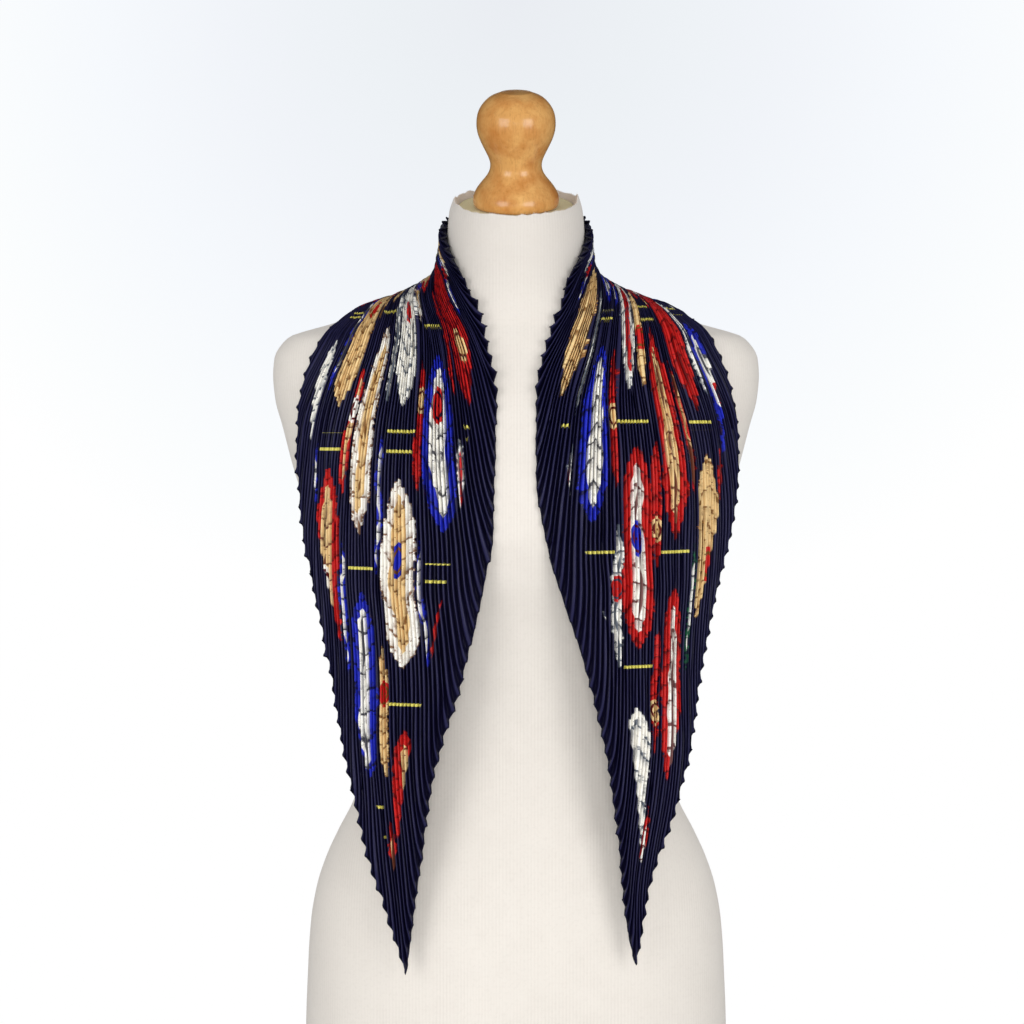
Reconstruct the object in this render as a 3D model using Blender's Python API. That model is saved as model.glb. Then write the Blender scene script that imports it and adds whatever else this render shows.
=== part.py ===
"""A square silk scarf, pleated on the diagonal, worn round the neck of a limbless dress form.

The cloth is one square.  Its pleats run from corner to corner, so the pleated scarf is a long
pointed strip: each fold line starts at a cut edge and the two tips hang down the front.
The form is a whole, smooth table-top bust with a turned wooden neck knob.
+Z is up, the form faces -Y, and the origin is the middle of its flat underside.
"""

from collections import namedtuple

import bmesh
import bpy
import numpy as np
from mathutils import Matrix, Vector
from mathutils.bvhtree import BVHTree

MM = 0.001
TINY = 1e-6  # keeps a division or an index inside its range
MERGE = 1e-6  # metres between points that are one

# ---------------------------------------------------------------- driving sizes (millimetres)
CUT_SIDE = 900.0  # the scarf is cut 900 mm square
HALF_LENGTH = CUT_SIDE / 2**0.5  # tip to centre back, along the pleats
PLEATS = 101  # whole pleats across the widest place
FOLD_STEP = HALF_LENGTH / PLEATS  # flat cloth between one fold line and the next
WALL_ALONG = 3.4  # wall thickness square to the drape; about 1.8 mm square to a pleat's face
PLEAT_HEIGHT = 0.85  # height of a fold over its pitch
PLEAT_MOST = 2.9  # the tallest fold
TOOTH = 0.9  # how far a ridge stands out past the edge, over its pitch
LOOSE_FOLDS = 1.3  # the pleats next to the inner edge are this much wider again
LOOSE_SHARE = 0.12  # over this share of the width
CLEAR = 0.35  # gap between the cloth and the form
CLEAR_SLACK = 0.05  # so much less of it does no harm
LIFT_STEP = 3.5  # spacing of the places where that gap is tested
SEAM_GAP = 0.3  # gap between one stretch of the scarf and the next
NECK_REACH = 150.0  # the neck stretch runs this far each side of the centre back
PITCH_MOST = 5.5  # a pleat's widest spacing on the drape
HANG_STEP, HANG_FROM = 4.0, 480.0  # steps and height over which cloth looks for what it hangs from
SHOULDER_TOP = 572.0  # nothing above this height holds the front panels off the form
TURN_BLEND = 12.0  # hanging cloth turns into lying cloth over this far each side of the top level line

NECK_TILT = 13.0  # degrees that the neck's top leans forward
TILT_FROM, TILT_TO = 598.0, 640.0  # heights between which the lean comes in
RIM_WIDTH = 3.0  # of the cover's turned edge round the neck's top
RECESS_DEPTH = 7.0
BOARD_THICK = 2.4
PIECE_GAP = 0.3  # between the form's own pieces

SHARP_FROM = 50.0  # degrees between faces of the form from which their edge is shaded as sharp
FORM_SIDES = 32
KNOB_SIDES = 28
RING_COUNT = 30  # rings of the torso, evenly spaced, before the shoulder's own are added
RING_GAP = 7.0  # the least distance between two rings
SAMPLES_ACROSS = 33  # points across the drape before the folds are laid in
DRAPE_ROWS = 213  # lines across it, tip to tip
SPREAD_STEP = 0.01  # step for the slope of the pleats' spacing
SMOOTHINGS = 6  # times that each point of the drape is moved halfway to its neighbours
CLEAR_ROUNDS = 30  # the most times that the wall is moved clear of the form
SHORTEST = 0.5  # a fold line shorter than this is left out of its stretch
TRIM = 3.0  # no inner point of a fold line is nearer than this to its end
FRONT_ROWS = (98, 182, 256, 318, 370, 412, 450)  # distances from a tip with a row of points
NECK_ROWS = (0, 37, 75, 113)  # distances from the centre back with a row of points

# ---------------------------------------------------------------- tables (millimetres)
Section = namedtuple("Section", "height half_width front back squareness")
FORM_SECTIONS = [
    Section(0, 145, 90, 88, 2.3),
    Section(21, 149, 93, 91, 2.3),
    Section(50, 150, 95, 93, 2.3),
    Section(108, 148, 94, 92, 2.3),
    Section(135, 146, 92, 90, 2.3),
    Section(158, 142, 90, 87, 2.3),
    Section(178, 135.6, 87, 83, 2.3),
    Section(197, 127, 84, 78, 2.25),
    Section(221, 115, 79.5, 71, 2.2),
    Section(245, 108.6, 77, 66, 2.2),
    Section(266, 106.5, 76, 63, 2.2),
    Section(305, 110.8, 80, 61, 2.2),
    Section(348, 120.7, 90, 64, 2.2),
    Section(390, 134, 106, 68, 2.2),
    Section(419, 145, 113, 71, 2.2),
    Section(454, 157, 110, 75, 2.2),
    Section(486, 165.4, 100, 78, 2.2),
    Section(505, 170.5, 93, 79, 2.2),
    Section(522, 172, 86, 79, 2.2),
    Section(534, 171, 80, 78, 2.2),
    Section(543, 166.3, 76, 77, 2.2),
    Section(550, 158, 73, 76, 2.2),
    Section(558.5, 129, 68.5, 73.5, 2.2),
    Section(564.5, 112, 66.5, 72, 2.15),
    Section(571, 92, 64.5, 69.5, 2.1),
    Section(576.5, 76.7, 62.5, 66.5, 2.1),
    Section(584, 62.5, 60.5, 62.5, 2.05),
    Section(592, 53.5, 58.5, 57.5, 2),
    Section(602, 49.6, 56, 53, 2),
    Section(622, 48.5, 54, 49.5, 2),
    Section(636, 47.3, 53.4, 48, 2),
    Section(646, 44.9, 52.6, 46, 2),
]

# The scarf's two cut edges on each front panel, from the tip up to the collar bone.
FrontRow = namedtuple("FrontRow", "height left_inner left_outer right_inner right_outer")
FRONT = [
    FrontRow(129, -73.6, -80.0, 79.0, 84.0),
    FrontRow(160, -70.8, -89.6, 75.4, 87.6),
    FrontRow(191, -66.2, -100.4, 72.3, 95.8),
    FrontRow(232, -60.8, -109.4, 67.8, 110.4),
    FrontRow(273, -51.1, -119.2, 61.2, 120.2),
    FrontRow(314, -38.0, -126.2, 51.5, 124.8),
    FrontRow(355, -28.4, -133.8, 38.8, 132.6),
    FrontRow(386, -22.0, -140.8, 28.4, 140.6),
    FrontRow(417, -16.9, -146.8, 20.0, 148.0),
    FrontRow(448, -15.2, -149.2, 15.0, 152.2),
    FrontRow(479, -14.2, -150.4, 14.0, 152.6),
    FrontRow(510, -14.9, -147.0, 15.1, 147.8),
    FrontRow(532, -17.0, -140.2, 20.6, 140.4),
    FrontRow(554, -23.6, -126.0, 28.4, 127.6),
]
LEFT_TIP = (-75.3, 111.5)  # across, height
RIGHT_TIP = (82.0, 117.5)

# Over the shoulder and round the neck: lines across the scarf on one side, mirrored for the other.
Spoke = namedtuple("Spoke", "inner middle outer")
SPOKES = [
    Spoke((37.5, -58, 585), (74, -40, 582), (106, 0, 564)),
    Spoke((49.5, -22, 611), (66, 9, 591), (94, 38, 558)),
    Spoke((50.5, 5, 629), (62, 38, 588), (72, 64, 545)),
    Spoke((38.5, 36, 635), (42, 58, 588), (37, 80, 533)),
]
CENTRE_BACK = Spoke((0, 50, 637), (0, 62, 588), (0, 84, 527))

KnobRow = namedtuple("KnobRow", "height radius")
KNOB = [
    KnobRow(0, 28.6),
    KnobRow(1.6, 30.2),
    KnobRow(4.2, 30.9),
    KnobRow(8.4, 30.1),
    KnobRow(12, 28.4),
    KnobRow(15.6, 25.9),
    KnobRow(18.5, 23.6),
    KnobRow(21.4, 21),
    KnobRow(24.4, 19.1),
    KnobRow(27.5, 18.1),
    KnobRow(30.7, 17.9),
    KnobRow(34.2, 18.9),
    KnobRow(38.6, 21),
    KnobRow(44.4, 23.9),
    KnobRow(50.4, 26.5),
    KnobRow(57.5, 28),
    KnobRow(64, 27.7),
    KnobRow(69.5, 26),
    KnobRow(74.4, 22.6),
    KnobRow(78.5, 18.2),
    KnobRow(81.4, 12.6),
]


# ---------------------------------------------------------------- curves
def smooth_through(xs, ys, at):
    """A curve through the points that never overshoots them: a monotone cubic, for each column."""
    xs = np.asarray(xs, float)
    ys = np.asarray(ys, float)
    flat = ys.reshape(len(xs), -1)
    step = np.diff(xs)
    rise = np.diff(flat, axis=0) / step[:, None]
    slope = np.zeros_like(flat)
    before, after = rise[:-1], rise[1:]
    weight = (step[1:] / (step[:-1] + step[1:]))[:, None]
    same_way = before * after > 0
    blend = weight * before + (1 - weight) * after
    slope[1:-1] = np.where(same_way, before * after / np.where(same_way, blend, 1), 0)
    slope[0], slope[-1] = rise[0], rise[-1]
    at = np.clip(np.asarray(at, float), xs[0], xs[-1])
    i = np.clip(np.searchsorted(xs, at, side="right") - 1, 0, len(xs) - 2)
    h = step[i]
    t = ((at - xs[i]) / h)[..., None]
    h = h[..., None]
    made = (
        (1 + 2 * t) * (1 - t) ** 2 * flat[i]
        + t * (1 - t) ** 2 * h * slope[i]
        + t * t * (3 - 2 * t) * flat[i + 1]
        + t * t * (t - 1) * h * slope[i + 1]
    )
    return made.reshape(at.shape + ys.shape[1:])


def smooth_step(x):
    x = np.clip(x, 0, 1)
    return x * x * (3 - 2 * x)


def along(points):
    """Distance along a line of points, starting at 0."""
    steps = np.linalg.norm(np.diff(points, axis=0), axis=1)
    return np.concatenate([[0], np.cumsum(steps)])


def spaced_evenly(points, count):
    """The same line with its points spread evenly along it."""
    length = along(points)
    wanted = np.linspace(0, length[-1], count)
    return np.stack([np.interp(wanted, length, points[:, k]) for k in range(3)], axis=1)


# ---------------------------------------------------------------- the dress form
FORM = np.array(FORM_SECTIONS, float)
FORM_ALONG = np.concatenate([[0], np.cumsum(np.hypot(np.diff(FORM[:, 0]), np.diff(FORM[:, 1])))])


def form_rows(at):
    """Sections of the form at distances along its side outline."""
    return smooth_through(FORM_ALONG, FORM, at)


def neck_lean(height, forward):
    """How much a point of the neck rises or drops, because its top leans forward."""
    share = smooth_step((height - TILT_FROM) / (TILT_TO - TILT_FROM))
    return share * np.tan(np.radians(NECK_TILT)) * forward


def section_ring(section, sides, inset=0.0, lower=0.0):
    """Points round one section of the form, from its left side."""
    height, half_width, front, back, squareness = section
    angle = np.linspace(0, 2 * np.pi, sides, endpoint=False)
    power = 2 / squareness
    cos, sin = np.cos(angle), np.sin(angle)
    x = (half_width - inset) * np.sign(cos) * np.abs(cos) ** power
    depth = np.where(sin < 0, front - inset, back - inset)
    y = depth * np.sign(sin) * np.abs(sin) ** power
    return np.stack([x, y, height + neck_lean(height, y) - lower], axis=1)


def torso_rings(sides):
    """The form's rings from its underside to the floor of the neck's recess."""
    evenly = np.linspace(0, FORM_ALONG[-1], RING_COUNT)
    upper = FORM_ALONG[12:-2:2]
    wanted = np.union1d(np.round(evenly), np.round(upper))
    kept = np.concatenate([[True], np.diff(wanted) > RING_GAP])
    kept[-1] = True
    rings = [section_ring(form_rows(at), sides) for at in wanted[kept]]
    top = FORM[-1]
    rings.append(section_ring(top, sides, inset=RIM_WIDTH))
    rings.append(section_ring(top, sides, inset=RIM_WIDTH, lower=RECESS_DEPTH))
    return rings


def front_depth(x, height):
    """How far forward the form reaches at x and height; 0 past its side."""
    rows = form_rows(np.interp(height, FORM[:, 0], FORM_ALONG))
    share = np.clip(np.abs(x) / rows[..., 1], 0, 1)
    return rows[..., 2] * (1 - share ** rows[..., 4]) ** (1 / rows[..., 4])


def hanging_depth(x, height):
    """Cloth over the form's front: it follows the chest, then falls straight from its fullest place."""
    above = np.arange(0, HANG_FROM, HANG_STEP)
    tested = np.minimum(height[..., None] + above, SHOULDER_TOP)
    return front_depth(x[..., None], tested).max(axis=-1)


def object_from(name, points, faces, material):
    mesh = bpy.data.meshes.new(name)
    mesh.from_pydata([tuple(p * MM) for p in np.asarray(points, float)], [], faces)
    mesh.validate()
    made = bpy.data.objects.new(name, mesh)
    bpy.context.scene.collection.objects.link(made)
    mesh.materials.append(material)
    return made


def lofted(name, rings, material, closed_top=True):
    """A closed solid through rings that all have the same number of points."""
    sides = len(rings[0])
    points = np.concatenate(rings)
    faces = []
    for r in range(len(rings) - 1):
        low, high = r * sides, (r + 1) * sides
        for k in range(sides):
            after = (k + 1) % sides
            faces.append((low + k, low + after, high + after, high + k))
    faces.append(tuple(reversed(range(sides))))
    faces.append(tuple(range((len(rings) - 1) * sides, len(rings) * sides)))
    made = object_from(name, points, faces, material)
    made.data.shade_smooth()
    made.data.set_sharp_from_angle(angle=np.radians(SHARP_FROM))
    return made


def neck_plane_point(x, y, above):
    """A point on the neck's leaning top, or square above it by that much."""
    lean = np.radians(NECK_TILT)
    at_top = FORM[-1][0] - RECESS_DEPTH + np.tan(lean) * y
    return np.stack([x, y - above * np.sin(lean), at_top + above * np.cos(lean)], axis=-1)


def make_torso(material):
    made = lofted("form_torso", torso_rings(FORM_SIDES), material)
    triangles = bmesh.new()
    triangles.from_mesh(made.data)
    bmesh.ops.triangulate(triangles, faces=triangles.faces)
    triangles.to_mesh(made.data)
    triangles.free()
    return made


def make_neck_board(material):
    """The plain board that closes the neck, under the knob."""
    edge = section_ring(FORM[-1], FORM_SIDES, inset=RIM_WIDTH + 2 * PIECE_GAP)
    faces_at = (PIECE_GAP, PIECE_GAP + BOARD_THICK)
    rings = [neck_plane_point(edge[:, 0], edge[:, 1], above) for above in faces_at]
    return lofted("form_neck_board", rings, material)


def make_knob(material):
    """The turned wooden knob, standing square on the leaning board."""
    foot = 2 * PIECE_GAP + BOARD_THICK
    angle = np.linspace(0, 2 * np.pi, KNOB_SIDES, endpoint=False)
    lean = Matrix.Rotation(np.radians(NECK_TILT), 3, "X")
    centre = (FORM[-1][3] - FORM[-1][2]) / 2
    base = neck_plane_point(np.array(0.0), np.array(centre), foot)
    rings = []
    for row in KNOB:
        ring = [lean @ Vector((row.radius * np.cos(a), row.radius * np.sin(a), row.height)) for a in angle]
        rings.append(np.array(ring) + base)
    return lofted("form_neck_knob", rings, material)


# ---------------------------------------------------------------- the drape
def front_line(row, side):
    """One line across a front panel, in front of the form."""
    left = (row.left_inner, row.left_outer)
    right = (row.right_inner, row.right_outer)
    x = np.linspace(*(left if side < 0 else right), 4 * SAMPLES_ACROSS)
    height = np.full_like(x, row.height)
    return np.stack([x, -hanging_depth(x, height), height], axis=1)


def spoke_line(spoke, side):
    """One line across the scarf where it turns over the shoulder and round the neck."""
    inner, middle, outer = (np.array(p, float) * (side, 1, 1) for p in spoke)
    pull = 2 * middle - (inner + outer) / 2
    t = np.linspace(0, 1, 4 * SAMPLES_ACROSS)[:, None]
    return (1 - t) ** 2 * inner + 2 * t * (1 - t) * pull + t * t * outer


def stations():
    """Lines across the scarf from its inner to its outer edge, from the left tip to the right."""
    lines = {}
    for side, (tip_x, tip_height) in ((-1, LEFT_TIP), (1, RIGHT_TIP)):
        tip_depth = hanging_depth(np.array([tip_x]), np.array([tip_height]))[0]
        tip = np.repeat([[tip_x, -tip_depth, tip_height]], SAMPLES_ACROSS, axis=0)
        found = [tip] + [spaced_evenly(front_line(row, side), SAMPLES_ACROSS) for row in FRONT]
        found += [spaced_evenly(spoke_line(spoke, side), SAMPLES_ACROSS) for spoke in SPOKES]
        lines[side] = found
    middle = [spaced_evenly(spoke_line(CENTRE_BACK, 1), SAMPLES_ACROSS)]
    return np.array(lines[-1] + middle + lines[1][::-1])


def reach_of(lines):
    """Reach of each line: its distance along the scarf from the centre back, negative to the left.

    Each half is given its real length.
    """
    traced = (0, SAMPLES_ACROSS // 2, -1)
    steps = [np.linalg.norm(np.diff(lines[:, k], axis=0), axis=1) for k in traced]
    reach = np.concatenate([[0], np.cumsum(np.mean(steps, axis=0))])
    middle = len(lines) // 2
    left = (reach[: middle + 1] / reach[middle] - 1) * HALF_LENGTH
    right = (reach[middle + 1 :] - reach[middle]) / (reach[-1] - reach[middle]) * HALF_LENGTH
    return np.concatenate([left, right])


class Drape:
    """The smooth surface that the folds are laid on: points on the form, or hanging clear of it."""

    def __init__(self, form_tree):
        self.form = form_tree
        lines = stations()
        reach = reach_of(lines)
        self.reach = np.linspace(-HALF_LENGTH, HALF_LENGTH, DRAPE_ROWS)
        points = smooth_through(reach, lines, self.reach)
        turn = abs(reach[len(FRONT)])
        on_form = smooth_step((turn + TURN_BLEND - np.abs(self.reach)) / (2 * TURN_BLEND))[:, None, None]
        hung = points.copy()
        hung[..., 1] = -hanging_depth(points[..., 0], np.minimum(points[..., 2], SHOULDER_TOP - 1))
        points = on_form * self.laid_on(points) + (1 - on_form) * hung
        for _ in range(SMOOTHINGS):
            points[1:-1] = (2 * points[1:-1] + points[:-2] + points[2:]) / 4
            points[:, 1:-1] = (2 * points[:, 1:-1] + points[:, :-2] + points[:, 2:]) / 4
        self.points = self.pushed_clear(points, CLEAR)
        self.normals = self.square_to(self.points)

    def nearest(self, point):
        """The form's surface nearest a point, its normal there, and the distance outside it."""
        place, normal, _, _ = self.form.find_nearest(Vector(point * MM))
        place, normal = np.array(place) / MM, np.array(normal)
        return place, normal, float((point - place) @ normal)

    def laid_on(self, points):
        flat = points.reshape(-1, 3)
        made = [place + normal * CLEAR for place, normal, _ in map(self.nearest, flat)]
        return np.array(made).reshape(points.shape)

    def pushed_clear(self, points, clear):
        flat = points.reshape(-1, 3).copy()
        for i, point in enumerate(flat):
            _, normal, outside = self.nearest(point)
            if outside < clear:
                flat[i] = point + normal * (clear - outside)
        return flat.reshape(points.shape)

    def square_to(self, points):
        """Unit normals of the drape, away from the form.  At a tip the next row's width serves."""
        across = np.gradient(points, axis=1)
        across[0], across[-1] = across[2], across[-3]
        square = np.cross(across, np.gradient(points, self.reach, axis=0))
        square /= np.maximum(np.linalg.norm(square, axis=2, keepdims=True), TINY)
        centre_back = square[len(points) // 2, SAMPLES_ACROSS // 2]
        return square * np.sign(centre_back[1])

    def at(self, reach, share):
        """Point, normal and width of the drape, at a reach and a share of the width."""
        row = (reach + HALF_LENGTH) / (self.reach[1] - self.reach[0])
        row = np.clip(row, 0, DRAPE_ROWS - 1 - TINY)
        column = np.clip(share * (SAMPLES_ACROSS - 1), 0, SAMPLES_ACROSS - 1 - TINY)
        r, c = row.astype(int), column.astype(int)
        fr, fc = (row - r)[:, None], (column - c)[:, None]
        grid = np.concatenate([self.points, self.normals], axis=2)
        this_row = grid[r, c] * (1 - fc) + grid[r, c + 1] * fc
        next_row = grid[r + 1, c] * (1 - fc) + grid[r + 1, c + 1] * fc
        between = this_row * (1 - fr) + next_row * fr
        point, normal = between[:, :3], between[:, 3:]
        normal /= np.linalg.norm(normal, axis=1, keepdims=True)
        across = self.points[r, 1:] - self.points[r, :-1]
        width = np.linalg.norm(across, axis=2).sum(axis=1)
        past = (share - np.clip(share, 0, 1))[:, None] * width[:, None]
        edge = np.where(share < 0, 0, SAMPLES_ACROSS - 2)
        outwards = self.points[r, edge + 1] - self.points[r, edge]
        outwards /= np.maximum(np.linalg.norm(outwards, axis=1, keepdims=True), TINY)
        return point + outwards * past, normal, width


# ---------------------------------------------------------------- the folds
def width_share(order):
    """Where a pleat lies across the scarf, from 0 at the inner edge to 1.

    The pleats at the inner edge lie wider than the rest.
    """
    loose = LOOSE_FOLDS * LOOSE_SHARE * (1 - np.exp(-np.clip(order, 0, 1) / LOOSE_SHARE))
    whole = 1 + LOOSE_FOLDS * LOOSE_SHARE * (1 - np.exp(-1 / LOOSE_SHARE))
    return (order + loose) / whole


def spread_at(order):
    """How much wider than the average a pleat lies there."""
    low, high = np.maximum(order - SPREAD_STEP, 0), np.minimum(order + SPREAD_STEP, 1)
    return (width_share(high) - width_share(low)) / (2 * SPREAD_STEP)


def fold_points(drape, line, reach):
    """Points of one fold line, under and over the wall.

    line counts fold lines from -PLEATS at the inner corner to PLEATS at the outer one.  The even ones are
    ridges and the odd ones are valleys.
    """
    reach = np.asarray(reach, float)
    from_tip = np.maximum(HALF_LENGTH - np.abs(reach), TINY)
    flat = line * FOLD_STEP
    order = np.clip(0.5 + flat / (2 * from_tip), 0, 1)
    share = width_share(order)
    _, _, width = drape.at(reach, share)
    pitch = np.minimum(width * spread_at(order) * FOLD_STEP / from_tip, PITCH_MOST)
    ridge = line % 2 == 0
    if ridge:
        folds_to_edge = np.maximum(from_tip - abs(flat), 0) / FOLD_STEP
        out = np.sign(line) * TOOTH * pitch * np.exp(-folds_to_edge)
        share = share + out / np.maximum(width, 1)
    point, normal, _ = drape.at(reach, share)
    height = np.minimum(PLEAT_HEIGHT * pitch, PLEAT_MOST) * ridge
    under = point + normal * height[:, None]
    return under, under + normal * WALL_ALONG


def lifted_clear(drape, under, over, faces):
    """Both sides of a wall moved out wherever an edge on its underside would come too near the form."""
    tested = {tuple(sorted(edge)) for a, b, c in faces for edge in ((a, b), (b, c), (c, a))}
    touching = {}
    for edge in tested:
        for k in edge:
            touching.setdefault(k, []).append(edge)
    for _ in range(CLEAR_ROUNDS):
        move = {}
        for a, b in tested:
            steps = int(np.linalg.norm(under[a] - under[b]) / LIFT_STEP) + 2
            for t in np.linspace(0, 1, steps):
                _, normal, outside = drape.nearest(under[a] * (1 - t) + under[b] * t)
                if outside < CLEAR - CLEAR_SLACK:
                    shift = normal * (CLEAR - outside)
                    for k in (a, b):
                        if k not in move or shift @ shift > move[k] @ move[k]:
                            move[k] = shift
        if not move:
            break
        for k, shift in move.items():
            under[k] += shift
            over[k] += shift
        tested = {edge for k in move for edge in touching[k]}


def stretch(name, drape, rows, material):
    """One stretch of the pleated cloth as a closed wall, with its rows at those reaches, in order."""
    first, last = rows[0], rows[-1]
    lines = {}
    at = {}
    for line in range(-PLEATS + 1, PLEATS):
        end = HALF_LENGTH - abs(line) * FOLD_STEP
        low, high = max(first, -end), min(last, end)
        if high - low < SHORTEST:
            continue
        inside = [r for r in rows if low + TRIM < r < high - TRIM]
        at[line] = np.array([low, *inside, high])
        lines[line] = fold_points(drape, line, at[line])
    start, count = {}, 0
    for line in sorted(lines):
        start[line] = count
        count += len(at[line])
    under = np.concatenate([lines[line][0] for line in sorted(lines)])
    over = np.concatenate([lines[line][1] for line in sorted(lines)])
    faces = []
    for line in sorted(lines):
        if line + 1 not in lines:
            continue
        i = j = 0
        a, b = at[line], at[line + 1]
        while i < len(a) - 1 or j < len(b) - 1:
            step_a = j == len(b) - 1 or (i < len(a) - 1 and a[i + 1] + a[i] < b[j + 1] + b[j])
            p, q = start[line] + i, start[line + 1] + j
            if step_a:
                faces.append((p, p + 1, q))
                i += 1
            else:
                faces.append((p, q + 1, q))
                j += 1
    lifted_clear(drape, under, over, faces)
    points = np.concatenate([under, over])
    used = {}
    for a, b, c in faces:
        for edge in ((a, b), (b, c), (c, a)):
            used[edge] = used.get(edge, 0) + 1
    rim = [(b, a, a + count, b + count) for a, b in used if (b, a) not in used]
    outside = [(a + count, b + count, c + count) for a, b, c in faces]
    inside = [(c, b, a) for a, b, c in faces]
    made = object_from(name, points, inside + outside + rim, material)
    tidy = bmesh.new()
    tidy.from_mesh(made.data)
    bmesh.ops.remove_doubles(tidy, verts=tidy.verts, dist=MERGE)
    bmesh.ops.recalc_face_normals(tidy, faces=tidy.faces)
    tidy.to_mesh(made.data)
    tidy.free()
    return made


# ---------------------------------------------------------------- materials and the model
def material_of(name, colour, roughness, metallic=0.0):
    made = bpy.data.materials.new(name)
    made.use_nodes = True
    shader = made.node_tree.nodes["Principled BSDF"]
    shader.inputs["Base Color"].default_value = (*colour, 1)
    shader.inputs["Roughness"].default_value = roughness
    shader.inputs["Metallic"].default_value = metallic
    return made


def main():
    for old in list(bpy.data.objects):
        bpy.data.objects.remove(old)
    silk = material_of("navy_silk", (0.012, 0.012, 0.055), 0.42)
    jersey = material_of("cream_jersey", (0.74, 0.70, 0.65), 0.9)
    board = material_of("neck_board", (0.62, 0.58, 0.38), 0.85)
    wood = material_of("turned_wood", (0.62, 0.33, 0.10), 0.25)
    torso = make_torso(jersey)
    make_neck_board(board)
    make_knob(wood)
    shape = bmesh.new()
    shape.from_mesh(torso.data)
    drape = Drape(BVHTree.FromBMesh(shape))
    shape.free()
    split = NECK_REACH
    half_gap = SEAM_GAP / 2
    front = [HALF_LENGTH - r for r in FRONT_ROWS]
    left = [-HALF_LENGTH, *(-r for r in front), -(split + half_gap)]
    right = [split + half_gap, *reversed(front), HALF_LENGTH]
    neck = [-(split - half_gap), *(-r for r in reversed(NECK_ROWS[1:])), *NECK_ROWS, split - half_gap]
    stretch("scarf_left_end", drape, left, silk)
    stretch("scarf_neck", drape, neck, silk)
    stretch("scarf_right_end", drape, right, silk)


main()
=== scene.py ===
# %% [markdown]
# # A pleated silk scarf on a dress form
#
# The scarf is one square of silk, pleated from corner to corner. Each fold line runs straight from one cut
# edge to the next, so the pleated square is a long strip that is widest at the back of the neck and ends in
# two points. It lies on a smooth, limbless dress form with a turned wooden knob.
#
# The solids of the same object are loaded first and never change. Every piece here is finer skin for one of
# them: same place, same size, more detail.

# %% Load the solids that the looks are built on
import math

import bpy
import numpy as np
from collections import namedtuple
from functools import partial
from mathutils import Matrix, Vector
from mathutils.bvhtree import BVHTree


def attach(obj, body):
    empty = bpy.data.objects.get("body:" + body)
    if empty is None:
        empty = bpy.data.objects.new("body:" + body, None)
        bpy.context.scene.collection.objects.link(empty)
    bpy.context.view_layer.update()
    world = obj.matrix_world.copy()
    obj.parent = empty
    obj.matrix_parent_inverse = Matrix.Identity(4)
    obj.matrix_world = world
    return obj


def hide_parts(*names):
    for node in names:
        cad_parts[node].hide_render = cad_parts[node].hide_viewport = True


MM = 0.001  # the tables below are in millimetres
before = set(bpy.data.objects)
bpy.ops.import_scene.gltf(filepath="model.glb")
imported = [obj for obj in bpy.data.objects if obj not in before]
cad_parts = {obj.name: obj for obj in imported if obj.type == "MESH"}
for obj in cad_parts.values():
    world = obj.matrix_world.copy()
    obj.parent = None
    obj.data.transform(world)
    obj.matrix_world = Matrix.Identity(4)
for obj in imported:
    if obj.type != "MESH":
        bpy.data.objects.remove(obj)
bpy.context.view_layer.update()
print("solids:", ", ".join(sorted(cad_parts)))

# %% [markdown]
# ## Driving sizes
#
# A maker thinks of this scarf flat: a 900 mm square, and pleats counted across its diagonal. Everything
# about the folds follows from those two numbers, so they come first. The flat cloth has its own
# coordinates: *reach* runs along the pleats, from -HALF at the left tip to +HALF at the right tip with 0 at
# the back of the neck, and *across* runs square to the pleats.

# %% Sizes of the scarf and of the form's neck
CUT_SIDE = 900.0
HALF = CUT_SIDE / 2**0.5  # tip to centre back
PLEATS = 111
PLEAT_CLOTH = 2 * HALF / PLEATS  # flat cloth in one whole pleat
CLEAR = 0.5  # cloth to form

NECK_TILT, TILT_FROM, TILT_TO = 13.0, 598.0, 640.0
RIM_WIDTH, RECESS_DEPTH, BOARD_THICK, PIECE_GAP = 3.0, 7.0, 2.4, 0.3
print(f"one pleat takes {PLEAT_CLOTH:.1f} mm of cloth, tip to centre back is {HALF:.0f} mm")

# %% [markdown]
# ## The dress form's surface
#
# The form is a stack of rounded sections. A section is a *superellipse*: with squareness 2 it is an
# ellipse, and a higher number fills its corners. The table holds the sections that a form maker would
# gauge, and a monotone cubic curve runs between them, which never bulges past the sizes it is given.

# %% The form's sections, from the underside to the top of the neck
def table(fields, rows):
    """Rows of values whose columns have names."""
    row = namedtuple("Row", fields)
    return [row(*values) for values in rows]


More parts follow.
